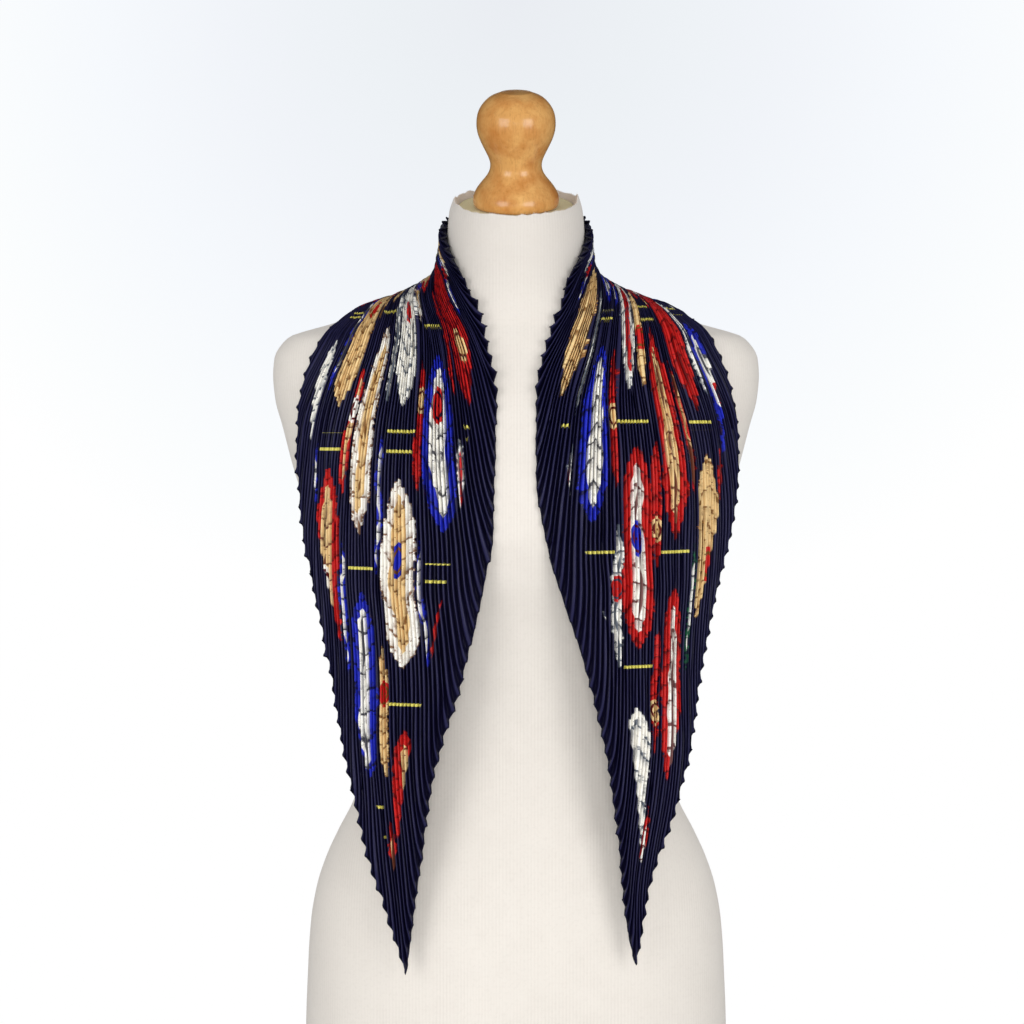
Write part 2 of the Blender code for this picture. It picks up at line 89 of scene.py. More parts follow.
FORM_SECTIONS = table("height half_width front back squareness", [
    (0, 145, 90, 88, 2.3),
    (21, 149, 93, 91, 2.3),
    (50, 150, 95, 93, 2.3),
    (108, 148, 94, 92, 2.3),
    (135, 146, 92, 90, 2.3),
    (158, 142, 90, 87, 2.3),
    (178, 135.6, 87, 83, 2.3),
    (197, 127, 84, 78, 2.25),
    (221, 115, 79.5, 71, 2.2),
    (245, 108.6, 77, 66, 2.2),
    (266, 106.5, 76, 63, 2.2),
    (305, 110.8, 80, 61, 2.2),
    (348, 120.7, 90, 64, 2.2),
    (390, 134, 106, 68, 2.2),
    (419, 145, 113, 71, 2.2),
    (454, 157, 110, 75, 2.2),
    (486, 165.4, 100, 78, 2.2),
    (505, 170.5, 93, 79, 2.2),
    (522, 172, 86, 79, 2.2),
    (534, 171, 80, 78, 2.2),
    (543, 166.3, 76, 77, 2.2),
    (550, 158, 73, 76, 2.2),
    (558.5, 129, 68.5, 73.5, 2.2),
    (564.5, 112, 66.5, 72, 2.15),
    (571, 92, 64.5, 69.5, 2.1),
    (576.5, 76.7, 62.5, 66.5, 2.1),
    (584, 62.5, 60.5, 62.5, 2.05),
    (592, 53.5, 58.5, 57.5, 2),
    (602, 49.6, 56, 53, 2),
    (622, 48.5, 54, 49.5, 2),
    (636, 47.3, 53.4, 48, 2),
    (646, 44.9, 52.6, 46, 2),
])
FORM = np.array(FORM_SECTIONS, float)
FORM_ALONG = np.concatenate([[0], np.cumsum(np.hypot(np.diff(FORM[:, 0]), np.diff(FORM[:, 1])))])
NECK_TOP = FORM_SECTIONS[-1].height
print(len(FORM_SECTIONS), "sections, neck", 2 * FORM_SECTIONS[-1].half_width, "mm wide")


# %% Curves through a table, and rings of the form
def smooth_through(xs, ys, at):
    """A curve through points that never overshoots them: a monotone cubic, for each column."""
    xs = np.asarray(xs, float)
    ys = np.asarray(ys, float)
    flat = ys.reshape(len(xs), -1)
    step = np.diff(xs)
    rise = np.diff(flat, axis=0) / step[:, None]
    slope = np.zeros_like(flat)
    before, after = rise[:-1], rise[1:]
    weight = (step[1:] / (step[:-1] + step[1:]))[:, None]
    same_way = before * after > 0
    blend = weight * before + (1 - weight) * after
    slope[1:-1] = np.where(same_way, before * after / np.where(same_way, blend, 1), 0)
    slope[0], slope[-1] = rise[0], rise[-1]
    at = np.clip(np.asarray(at, float), xs[0], xs[-1])
    i = np.clip(np.searchsorted(xs, at, side="right") - 1, 0, len(xs) - 2)
    h = step[i][..., None]
    t = ((at - xs[i]) / step[i])[..., None]
    made = (
        (1 + 2 * t) * (1 - t) ** 2 * flat[i]
        + t * (1 - t) ** 2 * h * slope[i]
        + t * t * (3 - 2 * t) * flat[i + 1]
        + t * t * (t - 1) * h * slope[i + 1]
    )
    return made.reshape(at.shape + ys.shape[1:])


def smooth_step(x):
    """From 0 to 1 without a corner at either end."""
    x = np.clip(x, 0, 1)
    return x * x * (3 - 2 * x)


def form_rows(along):
    return smooth_through(FORM_ALONG, FORM, along)


def section_ring(section, sides, inset=0.0, lower=0.0):
    """Points round one section.  Near its top the neck leans forward, so a ring's front drops there."""
    height, half_width, front, back, squareness = section
    angle = np.linspace(0, 2 * np.pi, sides, endpoint=False)
    cos, sin = np.cos(angle), np.sin(angle)
    x = (half_width - inset) * np.sign(cos) * np.abs(cos) ** (2 / squareness)
    depth = np.where(sin < 0, front - inset, back - inset)
    y = depth * np.sign(sin) * np.abs(sin) ** (2 / squareness)
    lean = smooth_step((height - TILT_FROM) / (TILT_TO - TILT_FROM)) * math.tan(math.radians(NECK_TILT))
    return np.stack([x, y, height + lean * y - lower], axis=1)


def front_depth(x, height):
    """How far forward the form reaches at x and height; 0 past its side."""
    rows = form_rows(np.interp(height, FORM[:, 0], FORM_ALONG))
    share = np.clip(np.abs(x) / rows[..., 1], 0, 1)
    return rows[..., 2] * (1 - share ** rows[..., 4]) ** (1 / rows[..., 4])


# %% [markdown]
# ## The knitted cover
#
# The cover is stretched jersey, so it is one smooth skin. A *loft* joins the rings with strips of faces.
# Near the top the neck rounds in, and the jersey was simply cut off there: its edge is thin, uneven and a
# little frayed, higher in front than behind. Each corner of the mesh also gets a place in a UV map,
# distance round the form from the middle of its front and distance up it, because the knit has to follow
# the surface.

# %% Loft helpers
COVER_SIDES, COVER_STEP = 240, 4.0


def placed_in_scene(name, data):
    """A mesh, a lamp or a camera as an object at the origin."""
    made = bpy.data.objects.new(name, data)
    bpy.context.scene.collection.objects.link(made)
    return made


def new_piece(name, points, faces):
    """A mesh piece from points in millimetres, which rides on the one rigid body."""
    mesh = bpy.data.meshes.new(name)
    mesh.from_pydata((np.asarray(points, float) * MM).tolist(), [], faces)
    mesh.update()
    piece = placed_in_scene(name, mesh)
    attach(piece, "root")
    return piece


def lofted(name, rings, sharp_from=40):
    """Strips of faces between rings that all have the same number of points, closed at both ends."""
    sides = len(rings[0])
    ring, side = np.meshgrid(np.arange(len(rings) - 1), np.arange(sides), indexing="ij")
    ring, side = ring.ravel() * sides, side.ravel()
    after = (side + 1) % sides
    corners = [ring + side, ring + after, ring + sides + after, ring + sides + side]
    faces = np.stack(corners, axis=1).tolist()
    faces.append(list(reversed(range(sides))))
    faces.append(list(range((len(rings) - 1) * sides, len(rings) * sides)))
    piece = new_piece(name, np.concatenate(rings), faces)
    piece.data.shade_smooth()
    piece.data.set_sharp_from_angle(angle=math.radians(sharp_from))
    return piece


def wrap_map(piece, rings):
    """A UV map in metres: how far round from the middle of the front, and how far up, for a lofted piece."""
    rings = np.array(rings)
    sides = rings.shape[1]
    front = 3 * sides // 4
    from_front = np.roll(rings, -front, axis=1)
    steps = np.linalg.norm(np.roll(from_front, -1, axis=1) - from_front, axis=2)
    around = np.pad(np.cumsum(steps, axis=1), ((0, 0), (1, 0)))
    climb = np.linalg.norm(np.diff(from_front[:, 0], axis=0), axis=1)
    up = np.pad(np.cumsum(climb), (1, 0))
    uv = piece.data.uv_layers.new(name="knit")
    for face in piece.data.polygons:
        places = [(v // sides, (v - front) % sides) for v in face.vertices]
        all_sides = [side for _, side in places]
        over_front = max(all_sides) - min(all_sides) == sides - 1
        back_way = over_front or min(all_sides) >= sides // 2
        for corner, (ring, side) in zip(face.loop_indices, places):
            side = sides if over_front and side == 0 else side
            round_it = around[ring, side] - (around[ring, sides] if back_way else 0)
            uv.data[corner].uv = (round_it * MM, up[ring] * MM)


# %% The cut edge of the jersey
LIP = 0.55  # radius of the turned edge
ROUNDED_IN, ROUNDED_OVER = 0.8, 12.0  # the neck rounds in this much more over its last millimetres
BACK_LOWER = 2.6  # the edge is this much lower behind
RAGGED = 0.55  # how uneven the edge is
EDGE_SEED, FINE_KNOTS, BROAD_KNOTS, BROAD_SHARE = 5, 64, 19, 0.6
EDGE_PEAKS = table("degrees height half_width", [
    (4, 2.6, 9),
    (24, 1.2, 8),
    (46, 1.5, 10),
    (90, 0.8, 20),
    (140, 1.3, 8),
    (176, 1.5, 7),
    (222, -0.7, 16),
    (300, 0.5, 20),
    (335, -0.6, 12),
])


def round_noise(knots, seed, count):
    """Smooth seeded noise round a ring, about -1 to 1."""
    dice = np.random.default_rng(seed).uniform(-1, 1, knots)
    place = np.arange(count) * knots / count
    k = place.astype(int)
    t = smooth_step(place - k)
    return dice[k % knots] * (1 - t) + dice[(k + 1) % knots] * t


cover_degrees = np.arange(COVER_SIDES) * 360 / COVER_SIDES
fine_waves = round_noise(FINE_KNOTS, EDGE_SEED, COVER_SIDES)
broad_waves = round_noise(BROAD_KNOTS, EDGE_SEED + 1, COVER_SIDES)
edge_height = RAGGED * (fine_waves + BROAD_SHARE * broad_waves)
edge_height -= BACK_LOWER * np.clip(np.sin(np.radians(cover_degrees)), 0, 1)
for peak in EDGE_PEAKS:
    away = (cover_degrees - peak.degrees + 180) % 360 - 180
    edge_height += peak.height * np.exp(-((away / peak.half_width) ** 2))
print(f"the jersey's cut edge is uneven by {np.ptp(edge_height):.1f} mm")


# %% Make the cover and let it stand for the torso's solid
def cover_ring(section, inset=0.0, lower=0.0, ragged=1.0):
    """A ring of the cover: as the form's, but near the top rounded in and following the uneven edge."""
    near_top = smooth_step((section[0] - NECK_TOP + ROUNDED_OVER) / ROUNDED_OVER)
    made = section_ring(section, COVER_SIDES, inset=inset + ROUNDED_IN * near_top**2, lower=lower)
    made[:, 2] += edge_height * near_top * ragged
    return made


top = form_rows(FORM_ALONG[-1])
cover_rows = np.linspace(0, FORM_ALONG[-1], int(FORM_ALONG[-1] / COVER_STEP))
finer_rows = np.linspace(cover_rows[-5], FORM_ALONG[-1], 14)  # where the neck rounds in
cover_rings = [cover_ring(form_rows(at)) for at in [*cover_rows[:-5], *finer_rows[:-1]]]
for turn in np.linspace(0, math.pi, 7):
    cover_rings.append(cover_ring(top, inset=LIP * (1 - math.cos(turn)), lower=LIP * (1 - math.sin(turn))))
edge_ring = cover_rings[-4]
cover_rings.append(cover_ring(top, inset=RIM_WIDTH * 0.8, lower=RECESS_DEPTH * 0.5, ragged=0.5))
cover_rings.append(cover_ring(top, inset=RIM_WIDTH, lower=RECESS_DEPTH, ragged=0.0))
cover = lofted("form_cover", cover_rings, sharp_from=60)
wrap_map(cover, cover_rings)
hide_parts("form_torso")
print("cover:", len(cover.data.polygons), "faces")

# %% [markdown]
# ## Neck board and turned knob
#
# The board is a plain disc let into the neck. The knob is lathe work, so it is its profile, turned: the
# table gives the radius at a few heights and the curve through them is spun round the axis. Both follow the
# neck's forward lean.

# %% Make the board
def neck_plane_point(x, y, above):
    """A point on the neck's leaning top, or square above it by that much."""
    lean = math.radians(NECK_TILT)
    board_seat = NECK_TOP - RECESS_DEPTH + math.tan(lean) * y
    return np.stack([x, y - above * math.sin(lean), board_seat + above * math.cos(lean)], axis=-1)


BOARD_ROWS = table("share above", [
    (0.985, 0),
    (1, 0.4),
    (1, BOARD_THICK - 0.5),
    (0.985, BOARD_THICK),
    (0.9, BOARD_THICK),
])
edge = section_ring(top, COVER_SIDES, inset=RIM_WIDTH + ROUNDED_IN + 2 * PIECE_GAP)
board_rings = [
    neck_plane_point(edge[:, 0] * row.share, edge[:, 1] * row.share, PIECE_GAP + row.above)
    for row in BOARD_ROWS
]
board = lofted("neck_board", board_rings)
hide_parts("form_neck_board")
print("board:", len(board.data.polygons), "faces")

# %% Turn the knob
# Each row is a height above the knob's foot and the radius there.
KNOB = [
    (0, 28.6), (1.6, 30.2), (4.2, 30.9), (8.4, 30.1), (12, 28.4), (15.6, 25.9), (18.5, 23.6),
    (21.4, 21), (24.4, 19.1), (27.5, 18.1), (30.7, 17.9), (34.2, 18.9), (38.6, 21), (44.4, 23.9),
    (50.4, 26.5), (57.5, 28), (64, 27.7), (69.5, 26), (74.4, 22.6), (78.5, 18.2), (80.7, 12.4),
]
CAP = [(81.1, 11.5), (81.3, 11.0), (81.4, 7.5), (81.5, 1.2)]  # the flat where it was held on the lathe
KNOB_SIDES, KNOB_STEPS, SANDINGS = 96, 140, 30
knob_table = np.array(KNOB)
knob_along = np.concatenate([[0], np.cumsum(np.hypot(*np.diff(knob_table, axis=0).T))])
profile = smooth_through(knob_along, knob_table, np.linspace(0, knob_along[-1], KNOB_STEPS))
for _ in range(SANDINGS):  # as sandpaper does on the lathe: even curves, so that highlights are even too
    profile[3:-3] += (profile[2:-4] + profile[4:-2] - 2 * profile[3:-3]) / 4
profile = np.concatenate([profile, CAP])
knob_lean = np.array(Matrix.Rotation(math.radians(NECK_TILT), 3, "X"))
neck_middle = (FORM_SECTIONS[-1].back - FORM_SECTIONS[-1].front) / 2
knob_foot = neck_plane_point(0.0, neck_middle, 2 * PIECE_GAP + BOARD_THICK)
spin = np.linspace(0, 2 * np.pi, KNOB_SIDES, endpoint=False)
knob_rings = []
for height, radius in profile:
    ring = np.stack([radius * np.cos(spin), radius * np.sin(spin), np.full(KNOB_SIDES, height)], axis=1)
    knob_rings.append(ring @ knob_lean.T + knob_foot)
knob = lofted("neck_knob", knob_rings)
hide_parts("form_neck_knob")
print("knob:", len(knob.data.polygons), "faces")

# %% [markdown]
# ## The drape
#
# Before there are pleats there is a smooth surface that the cloth follows. Its lines across the scarf are
# *stations*. In front they are level, from the inner cut edge to the outer one, and the cloth hangs plumb
# from the fullest place above it. Over the shoulder and round the neck the stations turn like the spokes of
# a wheel, and there the cloth lies on the form, so those points are moved to the cover's nearest place.

# %% Stations of the scarf
FRONT = table("height left_inner left_outer right_inner right_outer", [
    (129, -73.6, -80.0, 79.0, 84.0),
    (160, -70.8, -89.6, 75.4, 87.6),
    (191, -66.2, -100.4, 72.3, 95.8),
    (232, -60.8, -109.4, 67.8, 110.4),
    (273, -51.1, -119.2, 61.2, 120.2),
    (314, -38.0, -126.2, 51.5, 124.8),
    (355, -28.4, -133.8, 38.8, 132.6),
    (386, -22.0, -140.8, 28.4, 140.6),
    (417, -16.9, -146.8, 20.0, 148.0),
    (448, -15.2, -149.2, 15.0, 152.2),
    (479, -14.2, -150.4, 14.0, 152.6),
    (510, -14.9, -147.0, 15.1, 147.8),
    (532, -17.0, -140.2, 20.6, 140.4),
    (554, -23.6, -126.0, 28.4, 127.6),
])
LEFT_TIP = (-75.3, 111.5)
RIGHT_TIP = (82.0, 117.5)
SPOKES = [  # the places of the inner edge, the middle and the outer edge
    ((37.5, -58, 585), (74, -40, 582), (106, 0, 564)),
    ((49.5, -22, 611), (66, 9, 591), (94, 38, 558)),
    ((50.5, 5, 629), (62, 38, 588), (72, 64, 545)),
    ((38.5, 36, 635), (42, 58, 588), (37, 80, 533)),
]
CENTRE_BACK = ((0, 50, 637), (0, 62, 588), (0, 84, 527))
ACROSS = 97  # samples across the drape
ROW_STEP = 5.4  # mm of cloth from one row of the mesh to the next
NECK_FOOT = 572.0  # above this height nothing hangs
HANG_REACH, HANG_STEP = 480, 4.0  # the heights above a point where it may hang from
TURN_FADE = 24.0  # over this much cloth the hanging front gives way to what lies on the form
DRAPE_SMOOTHINGS = 8
SKIN_CLEAR = 0.25  # the finished cloth keeps this far off the form
print(len(FRONT), "level stations and", len(SPOKES), "spokes on each side")


# %% Lines across the scarf
def hanging_depth(x, height):
    """Cloth over the form's front: it follows the chest, then falls straight from its fullest place."""
    above = np.arange(0, HANG_REACH, HANG_STEP)
    tested = np.minimum(height[..., None] + above, NECK_FOOT)
    return front_depth(x[..., None], tested).max(axis=-1)


def spaced_evenly(points, count):
    """The same line with its points at even steps."""
    steps = np.linalg.norm(np.diff(points, axis=0), axis=1)
    length = np.concatenate([[0], np.cumsum(steps)])
    wanted = np.linspace(0, length[-1], count)
    return np.stack([np.interp(wanted, length, points[:, k]) for k in range(3)], axis=1)


def front_line(row, side):
    inner, outer = (row.left_inner, row.left_outer) if side < 0 else (row.right_inner, row.right_outer)
    x = np.linspace(inner, outer, 4 * ACROSS)
    height = np.full_like(x, row.height)
    return np.stack([x, -hanging_depth(x, height), height], axis=1)


def spoke_line(spoke, side):
    """A parabola through the spoke's three places."""
    inner, middle, outer = (np.array(p, float) * (side, 1, 1) for p in spoke)
    pull = 2 * middle - (inner + outer) / 2
    t = np.linspace(0, 1, 4 * ACROSS)[:, None]
    return (1 - t) ** 2 * inner + 2 * t * (1 - t) * pull + t * t * outer


def stations():
    """Every line across the scarf, from the left tip over the centre back to the right tip."""
    lines = {}
    for side, (tip_x, tip_height) in ((-1, LEFT_TIP), (1, RIGHT_TIP)):
        tip_depth = hanging_depth(np.array([tip_x]), np.array([tip_height]))[0]
        found = [np.repeat([[tip_x, -tip_depth, tip_height]], ACROSS, axis=0)]
        found += [spaced_evenly(front_line(row, side), ACROSS) for row in FRONT]
        found += [spaced_evenly(spoke_line(spoke, side), ACROSS) for spoke in SPOKES]
        lines[side] = found
    middle = [spaced_evenly(spoke_line(CENTRE_BACK, 1), ACROSS)]
    return np.array(lines[-1] + middle + lines[1][::-1])


def reach_of(lines):
    """Each line's distance from the centre back, along the cloth, so that each half has its real length."""
    steps = [np.linalg.norm(np.diff(lines[:, k], axis=0), axis=1) for k in (0, ACROSS // 2, -1)]
    reach = np.concatenate([[0], np.cumsum(np.mean(steps, axis=0))])
    middle = len(lines) // 2
    left = (reach[: middle + 1] / reach[middle] - 1) * HALF
    right = (reach[middle + 1 :] - reach[middle]) / (reach[-1] - reach[middle]) * HALF
    return np.concatenate([left, right])


# %% Lay the drape on the form
cover_tree = BVHTree.FromObject(cover, bpy.context.evaluated_depsgraph_get())


def nearest(point):
    """The cover's nearest place, its normal there and the distance outside it, in millimetres."""
    place, normal, _, _ = cover_tree.find_nearest(Vector(point * MM))
    place, normal = np.array(place) / MM, np.array(normal)
    return place, normal, float((point - place) @ normal)


def pushed_clear(points, clear):
    """The points, moved out where they are nearer to the cover than that."""
    flat = points.reshape(-1, 3).copy()
    for i, point in enumerate(flat):
        _, normal, outside = nearest(point)
        if outside < clear:
            flat[i] = point + normal * (clear - outside)
    return flat.reshape(points.shape)


def smoothed(points, times):
    for _ in range(times):
        points[1:-1] = points[1:-1] * 0.5 + (points[:-2] + points[2:]) * 0.25
        points[:, 1:-1] = points[:, 1:-1] * 0.5 + (points[:, :-2] + points[:, 2:]) * 0.25
    return points


lines = stations()
line_reach = reach_of(lines)
rows_each_side = int(HALF / ROW_STEP)
reach_rows = np.linspace(-HALF, HALF, 2 * rows_each_side + 1)
drape = smooth_through(line_reach, lines, reach_rows)
turn_reach = abs(line_reach[len(FRONT)])
on_form = smooth_step((turn_reach + TURN_FADE / 2 - np.abs(reach_rows)) / TURN_FADE)[:, None, None]
laid = np.array([place + normal * CLEAR for place, normal, _ in map(nearest, drape.reshape(-1, 3))])
hung = drape.copy()
hung[..., 1] = -hanging_depth(drape[..., 0], np.minimum(drape[..., 2], NECK_FOOT - 1))
drape = smoothed(on_form * laid.reshape(drape.shape) + (1 - on_form) * hung, DRAPE_SMOOTHINGS)
drape = pushed_clear(drape, CLEAR)
print("drape:", drape.shape[0], "rows of", ACROSS, "points")

# %% [markdown]
# ## The folds
#
# The pleated cloth is one open sheet, a single layer with no thickness, because 0.1 mm silk would only
# double its faces. Its mesh has six lines of points to each pleat: one on the ridge, two on its rounded
# shoulders, two on the flanks and one in the sharp valley. Every line ends where the real fold ends, on a
# cut edge.
#
# A crease modifier could fake this on a flat strip, but only lines that follow the cloth let the print run
# over the ridges and vanish in the valleys as it does on silk.

# %% One pleat, and what pulls on it
PLEAT = table("cloth side rise", [
    (0.00, 0.00, 1.00),
    (0.06, 0.14, 0.93),
    (0.27, 0.33, 0.46),
    (0.50, 0.50, 0.00),
    (0.73, 0.67, 0.46),
    (0.94, 0.86, 0.93),
])
FOLD_FILL = 0.93  # a pleat's height over that of two straight flanks
EDGE_DEPTH, EDGE_REACH = 0.55, 13.0  # folds open to this share of their height at a cut edge
TOOTH_OUT, TOOTH_REACH = 2.1, 6.0  # a free ridge leans out this far at the cut edge
INNER_TOOTH = 0.45  # where the inner edge hangs straight its teeth have this share of their size
HANGS_FROM, HANGS_TO, TIP_FROM, TIP_TO = 205.0, 260.0, 390.0, 450.0  # that stretch, from the centre back
TIP_TOOTH = 0.1  # below it they are this share larger
COLLAR_FROM, COLLAR_TO, COLLAR_FADE = 60.0, 215.0, 50.0  # the collar's inner edge is turned out here
COLLAR_LIFT, COLLAR_LIFT_REACH = 4.2, 9.0  # its ridges stand off the neck
COLLAR_VALLEY, COLLAR_UNEVEN = 0.2, 0.4  # its valleys by this share of that, and how much each differs
COLLAR_TOOTH = 0.8  # and lean out this share more
COLLAR_HELD = 0.35  # its folds open this share less at the cut edge
RIDGE_TOOTH = 0.5  # share of a tooth that its ridge has over its valley
COLLAR_RIDGE_TOOTH = 0.5  # at the collar it is this share more
OWN_SIDE, OWN_RISE, OWN_KNOT = 0.07, 0.08, 34.0  # each pleat's own unevenness and how fast it changes
BUNCH, BUNCH_SHOULDER, BUNCH_PLEATS, BUNCH_KNOT = 0.12, 0.45, 5, 70.0  # neighbours crowd or part together
SHOULDER_FROM, SHOULDER_FADE_IN = 120.0, 50.0  # they do so most over the shoulder,
SHOULDER_TO, SHOULDER_FADE_OUT = 270.0, 60.0  # between these distances from the centre back
TIP_STRETCH, TIP_LEAST = 40.0, 0.15  # teeth shrink to this share over the last stretch to a tip
TOOTH_UNEVEN = 0.25
PITCH_LEAST, PITCH_MOST = 0.8, 7.0  # mm from ridge to ridge, for working out the depth
NUDGE = 0.01  # how crowded the pleats are is measured this far to either side
CLOTH_SEED = 11

# Creases of the whole pleated strip: soft ridges (+) and troughs (-) along it.
CREASE_FALL_ALONG, CREASE_FALL_ACROSS = 2.2, 1.6
CREASES = table("reach half_length across half_width height", [
    (-395, 150, 0.10, 0.16, 3.4),
    (-330, 120, 0.36, 0.10, -1.3),
    (-430, 110, 0.62, 0.13, 1.4),
    (-300, 80, 0.86, 0.09, -1.0),
    (-262, 40, 0.30, 0.07, 1.5),
    (-250, 34, 0.55, 0.06, 1.2),
    (-245, 40, 0.80, 0.06, 1.0),
    (400, 160, 0.10, 0.15, 2.8),
    (350, 130, 0.40, 0.11, -1.2),
    (455, 90, 0.66, 0.14, 1.6),
    (285, 70, 0.88, 0.08, -1.1),
    (262, 42, 0.34, 0.06, 1.4),
    (252, 36, 0.60, 0.07, 1.1),
    (240, 36, 0.84, 0.05, 0.9),
    (-110, 46, 0.22, 0.10, 1.4),
    (-60, 60, 0.62, 0.12, 1.2),
    (25, 70, 0.36, 0.12, 1.3),
    (96, 50, 0.70, 0.10, 1.5),
])
print(f"a pleat is drawn with {len(PLEAT)} points;", len(CREASES), "creases run along the strip")


# %% Where a point of the flat cloth lies across the drape
# How much wider than the rest the pleats at the inner edge lie, at distances from the centre back.
LOOSE = [
    (0, 0.6), (150, 0.45), (244, 0.3), (297, 0.45), (350, 0.8), (376, 1.05), (403, 1.0), (431, 0.9),
    (460, 0.7), (489, 0.5), (518, 0.3), (547, 0.12), (HALF, 0.0),
]
LOOSE_SHARE = 0.15  # the looseness fades over this share of the width
LOOSE_TABLE = np.array(LOOSE)


def width_share(order, reach):
    """Where a pleat lies across the scarf, from 0 at the inner edge to 1."""
    wider = smooth_through(LOOSE_TABLE[:, 0], LOOSE_TABLE[:, 1], np.abs(reach)) * LOOSE_SHARE
    loose = wider * (1 - np.exp(-np.clip(order, 0, 1) / LOOSE_SHARE))
    return (order + loose) / (1 + wider * (1 - np.exp(-1 / LOOSE_SHARE)))


def square_to(points):
    """The directions that stand square on a grid of points, outwards from the form."""
    across = np.gradient(points, axis=1)
    across[0], across[-1] = across[2], across[-3]
    square = np.cross(across, np.gradient(points, reach_rows, axis=0))
    square /= np.maximum(np.linalg.norm(square, axis=2, keepdims=True), 1e-9)
    return square * np.sign(square[len(points) // 2, ACROSS // 2, 1])


drape_normals = square_to(drape)
drape_width = np.linalg.norm(np.diff(drape, axis=1), axis=2).sum(axis=1)


def drape_at(reach, share):
    """Points and normals of the drape, also a little past its edges."""
    row = np.clip((reach + HALF) / (reach_rows[1] - reach_rows[0]), 0, len(reach_rows) - 1.001)
    column = np.clip(share * (ACROSS - 1), 0, ACROSS - 1.001)
    r, c = row.astype(int), column.astype(int)
    fr, fc = (row - r)[:, None], (column - c)[:, None]

    def at_point(grid):
        this_row = grid[r, c] * (1 - fc) + grid[r, c + 1] * fc
        next_row = grid[r + 1, c] * (1 - fc) + grid[r + 1, c + 1] * fc
        return this_row * (1 - fr) + next_row * fr

    point, normal = at_point(drape), at_point(drape_normals)
    edge = np.where(share < 0.5, 0, ACROSS - 2)
    outwards = drape[r, edge + 1] - drape[r, edge]
    outwards /= np.maximum(np.linalg.norm(outwards, axis=1, keepdims=True), 1e-9)
    past = (share - np.clip(share, 0, 1)) * np.interp(reach, reach_rows, drape_width)
    normal /= np.linalg.norm(normal, axis=1, keepdims=True)
    return point + outwards * past[:, None], normal


# %% Seeded unevenness
def wander(rows, reach, knot, seed):
    """Smooth seeded noise along the scarf, one line of it for each whole number in rows."""
    dice = np.random.default_rng(seed)
    knots = dice.normal(size=(int(rows.max() - rows.min()) + 1, int(2 * HALF / knot) + 3))
    place = (reach + HALF) / knot
    k = place.astype(int)
    t = smooth_step(place - k)
    line = (rows - rows.min()).astype(int)
    return knots[line, k] * (1 - t) + knots[line, k + 1] * t


# %% Set out the sheet's points on the flat cloth
SAME = 1e-6  # places nearer than this are one
LEAST_STEP, LEAST_LINE = 1.6, 0.6  # shortest step at a line's end, and shortest half of a line
Column = namedtuple("Column", "pleat part across reach")
columns = []
for pleat in range(-(PLEATS // 2) - 1, PLEATS // 2 + 2):
    for part, point in enumerate(PLEAT):
        across = (pleat + point.cloth) * PLEAT_CLOTH
        end = HALF - abs(across)
        if end < -SAME:
            continue
        inside = reach_rows[np.abs(reach_rows) < end - LEAST_STEP]
        at = np.array([0.0]) if end < LEAST_LINE else np.concatenate([[-end], inside, [end]])
        columns.append(Column(pleat, part, across, at))
reach = np.concatenate([column.reach for column in columns])
counts = [len(column.reach) for column in columns]
pleat_of, part_of, across = (np.repeat([column[k] for column in columns], counts) for k in range(3))
print(len(columns), "lines of points,", len(reach), "points")

# %% Fold it
part_table = np.array(PLEAT)
from_tip = np.maximum(HALF - np.abs(reach), 1e-6)
to_cut = np.maximum(from_tip - np.abs(across), 0)
from_back = np.abs(reach)
at_shoulder = smooth_step((SHOULDER_TO - from_back) / SHOULDER_FADE_OUT)
at_shoulder *= smooth_step((from_back - SHOULDER_FROM) / SHOULDER_FADE_IN)
own_side = wander(pleat_of, reach, OWN_KNOT, CLOTH_SEED)
own_rise = wander(pleat_of, reach, OWN_KNOT, CLOTH_SEED + 1)
bunch = np.floor_divide(pleat_of, BUNCH_PLEATS)
blend = smooth_step(pleat_of / BUNCH_PLEATS - bunch)
crowding = wander(bunch, reach, BUNCH_KNOT, CLOTH_SEED + 2) * (1 - blend)
crowding += wander(bunch + 1, reach, BUNCH_KNOT, CLOTH_SEED + 2) * blend
side = pleat_of + part_table[part_of, 1] + OWN_SIDE * own_side
side += crowding * (BUNCH + BUNCH_SHOULDER * at_shoulder)
order = 0.5 + side * PLEAT_CLOTH / (2 * from_tip)
low, high = np.clip(order - NUDGE, 0, 1), np.clip(order + NUDGE, 0, 1)
spread = (width_share(high, reach) - width_share(low, reach)) / (2 * NUDGE)
width = np.interp(reach, reach_rows, drape_width)
pitch = width * spread * PLEAT_CLOTH / (2 * np.maximum(from_tip, 4))
pitch = np.clip(pitch, PITCH_LEAST, PITCH_MOST)
depth = FOLD_FILL * np.sqrt((PLEAT_CLOTH / 2) ** 2 - (pitch / 2) ** 2)

# %% Teeth at the cut edges, and the collar's inner edge
ridge_like = part_table[part_of, 2]
inner = across < 0
collar = smooth_step((from_back - COLLAR_FROM) / COLLAR_FADE) * inner
collar *= smooth_step((COLLAR_TO - from_back) / COLLAR_FADE + 1)
hangs = smooth_step((from_back - HANGS_FROM) / (HANGS_TO - HANGS_FROM)) * inner
at_tip = smooth_step((from_back - TIP_FROM) / (TIP_TO - TIP_FROM)) * inner
tooth = 1 + COLLAR_TOOTH * collar - (1 - INNER_TOOTH) * hangs * (1 - at_tip) + TIP_TOOTH * at_tip
tooth *= TOOTH_OUT
ridge_only = RIDGE_TOOTH * (1 + at_tip + COLLAR_RIDGE_TOOTH * collar)
tooth *= np.exp(-to_cut / TOOTH_REACH) * (1 - ridge_only * (1 - ridge_like))
tooth *= np.clip(from_tip / TIP_STRETCH, TIP_LEAST, 1) * (1 + TOOTH_UNEVEN * own_rise)
flattened = (1 - EDGE_DEPTH) * (1 - COLLAR_HELD * collar)
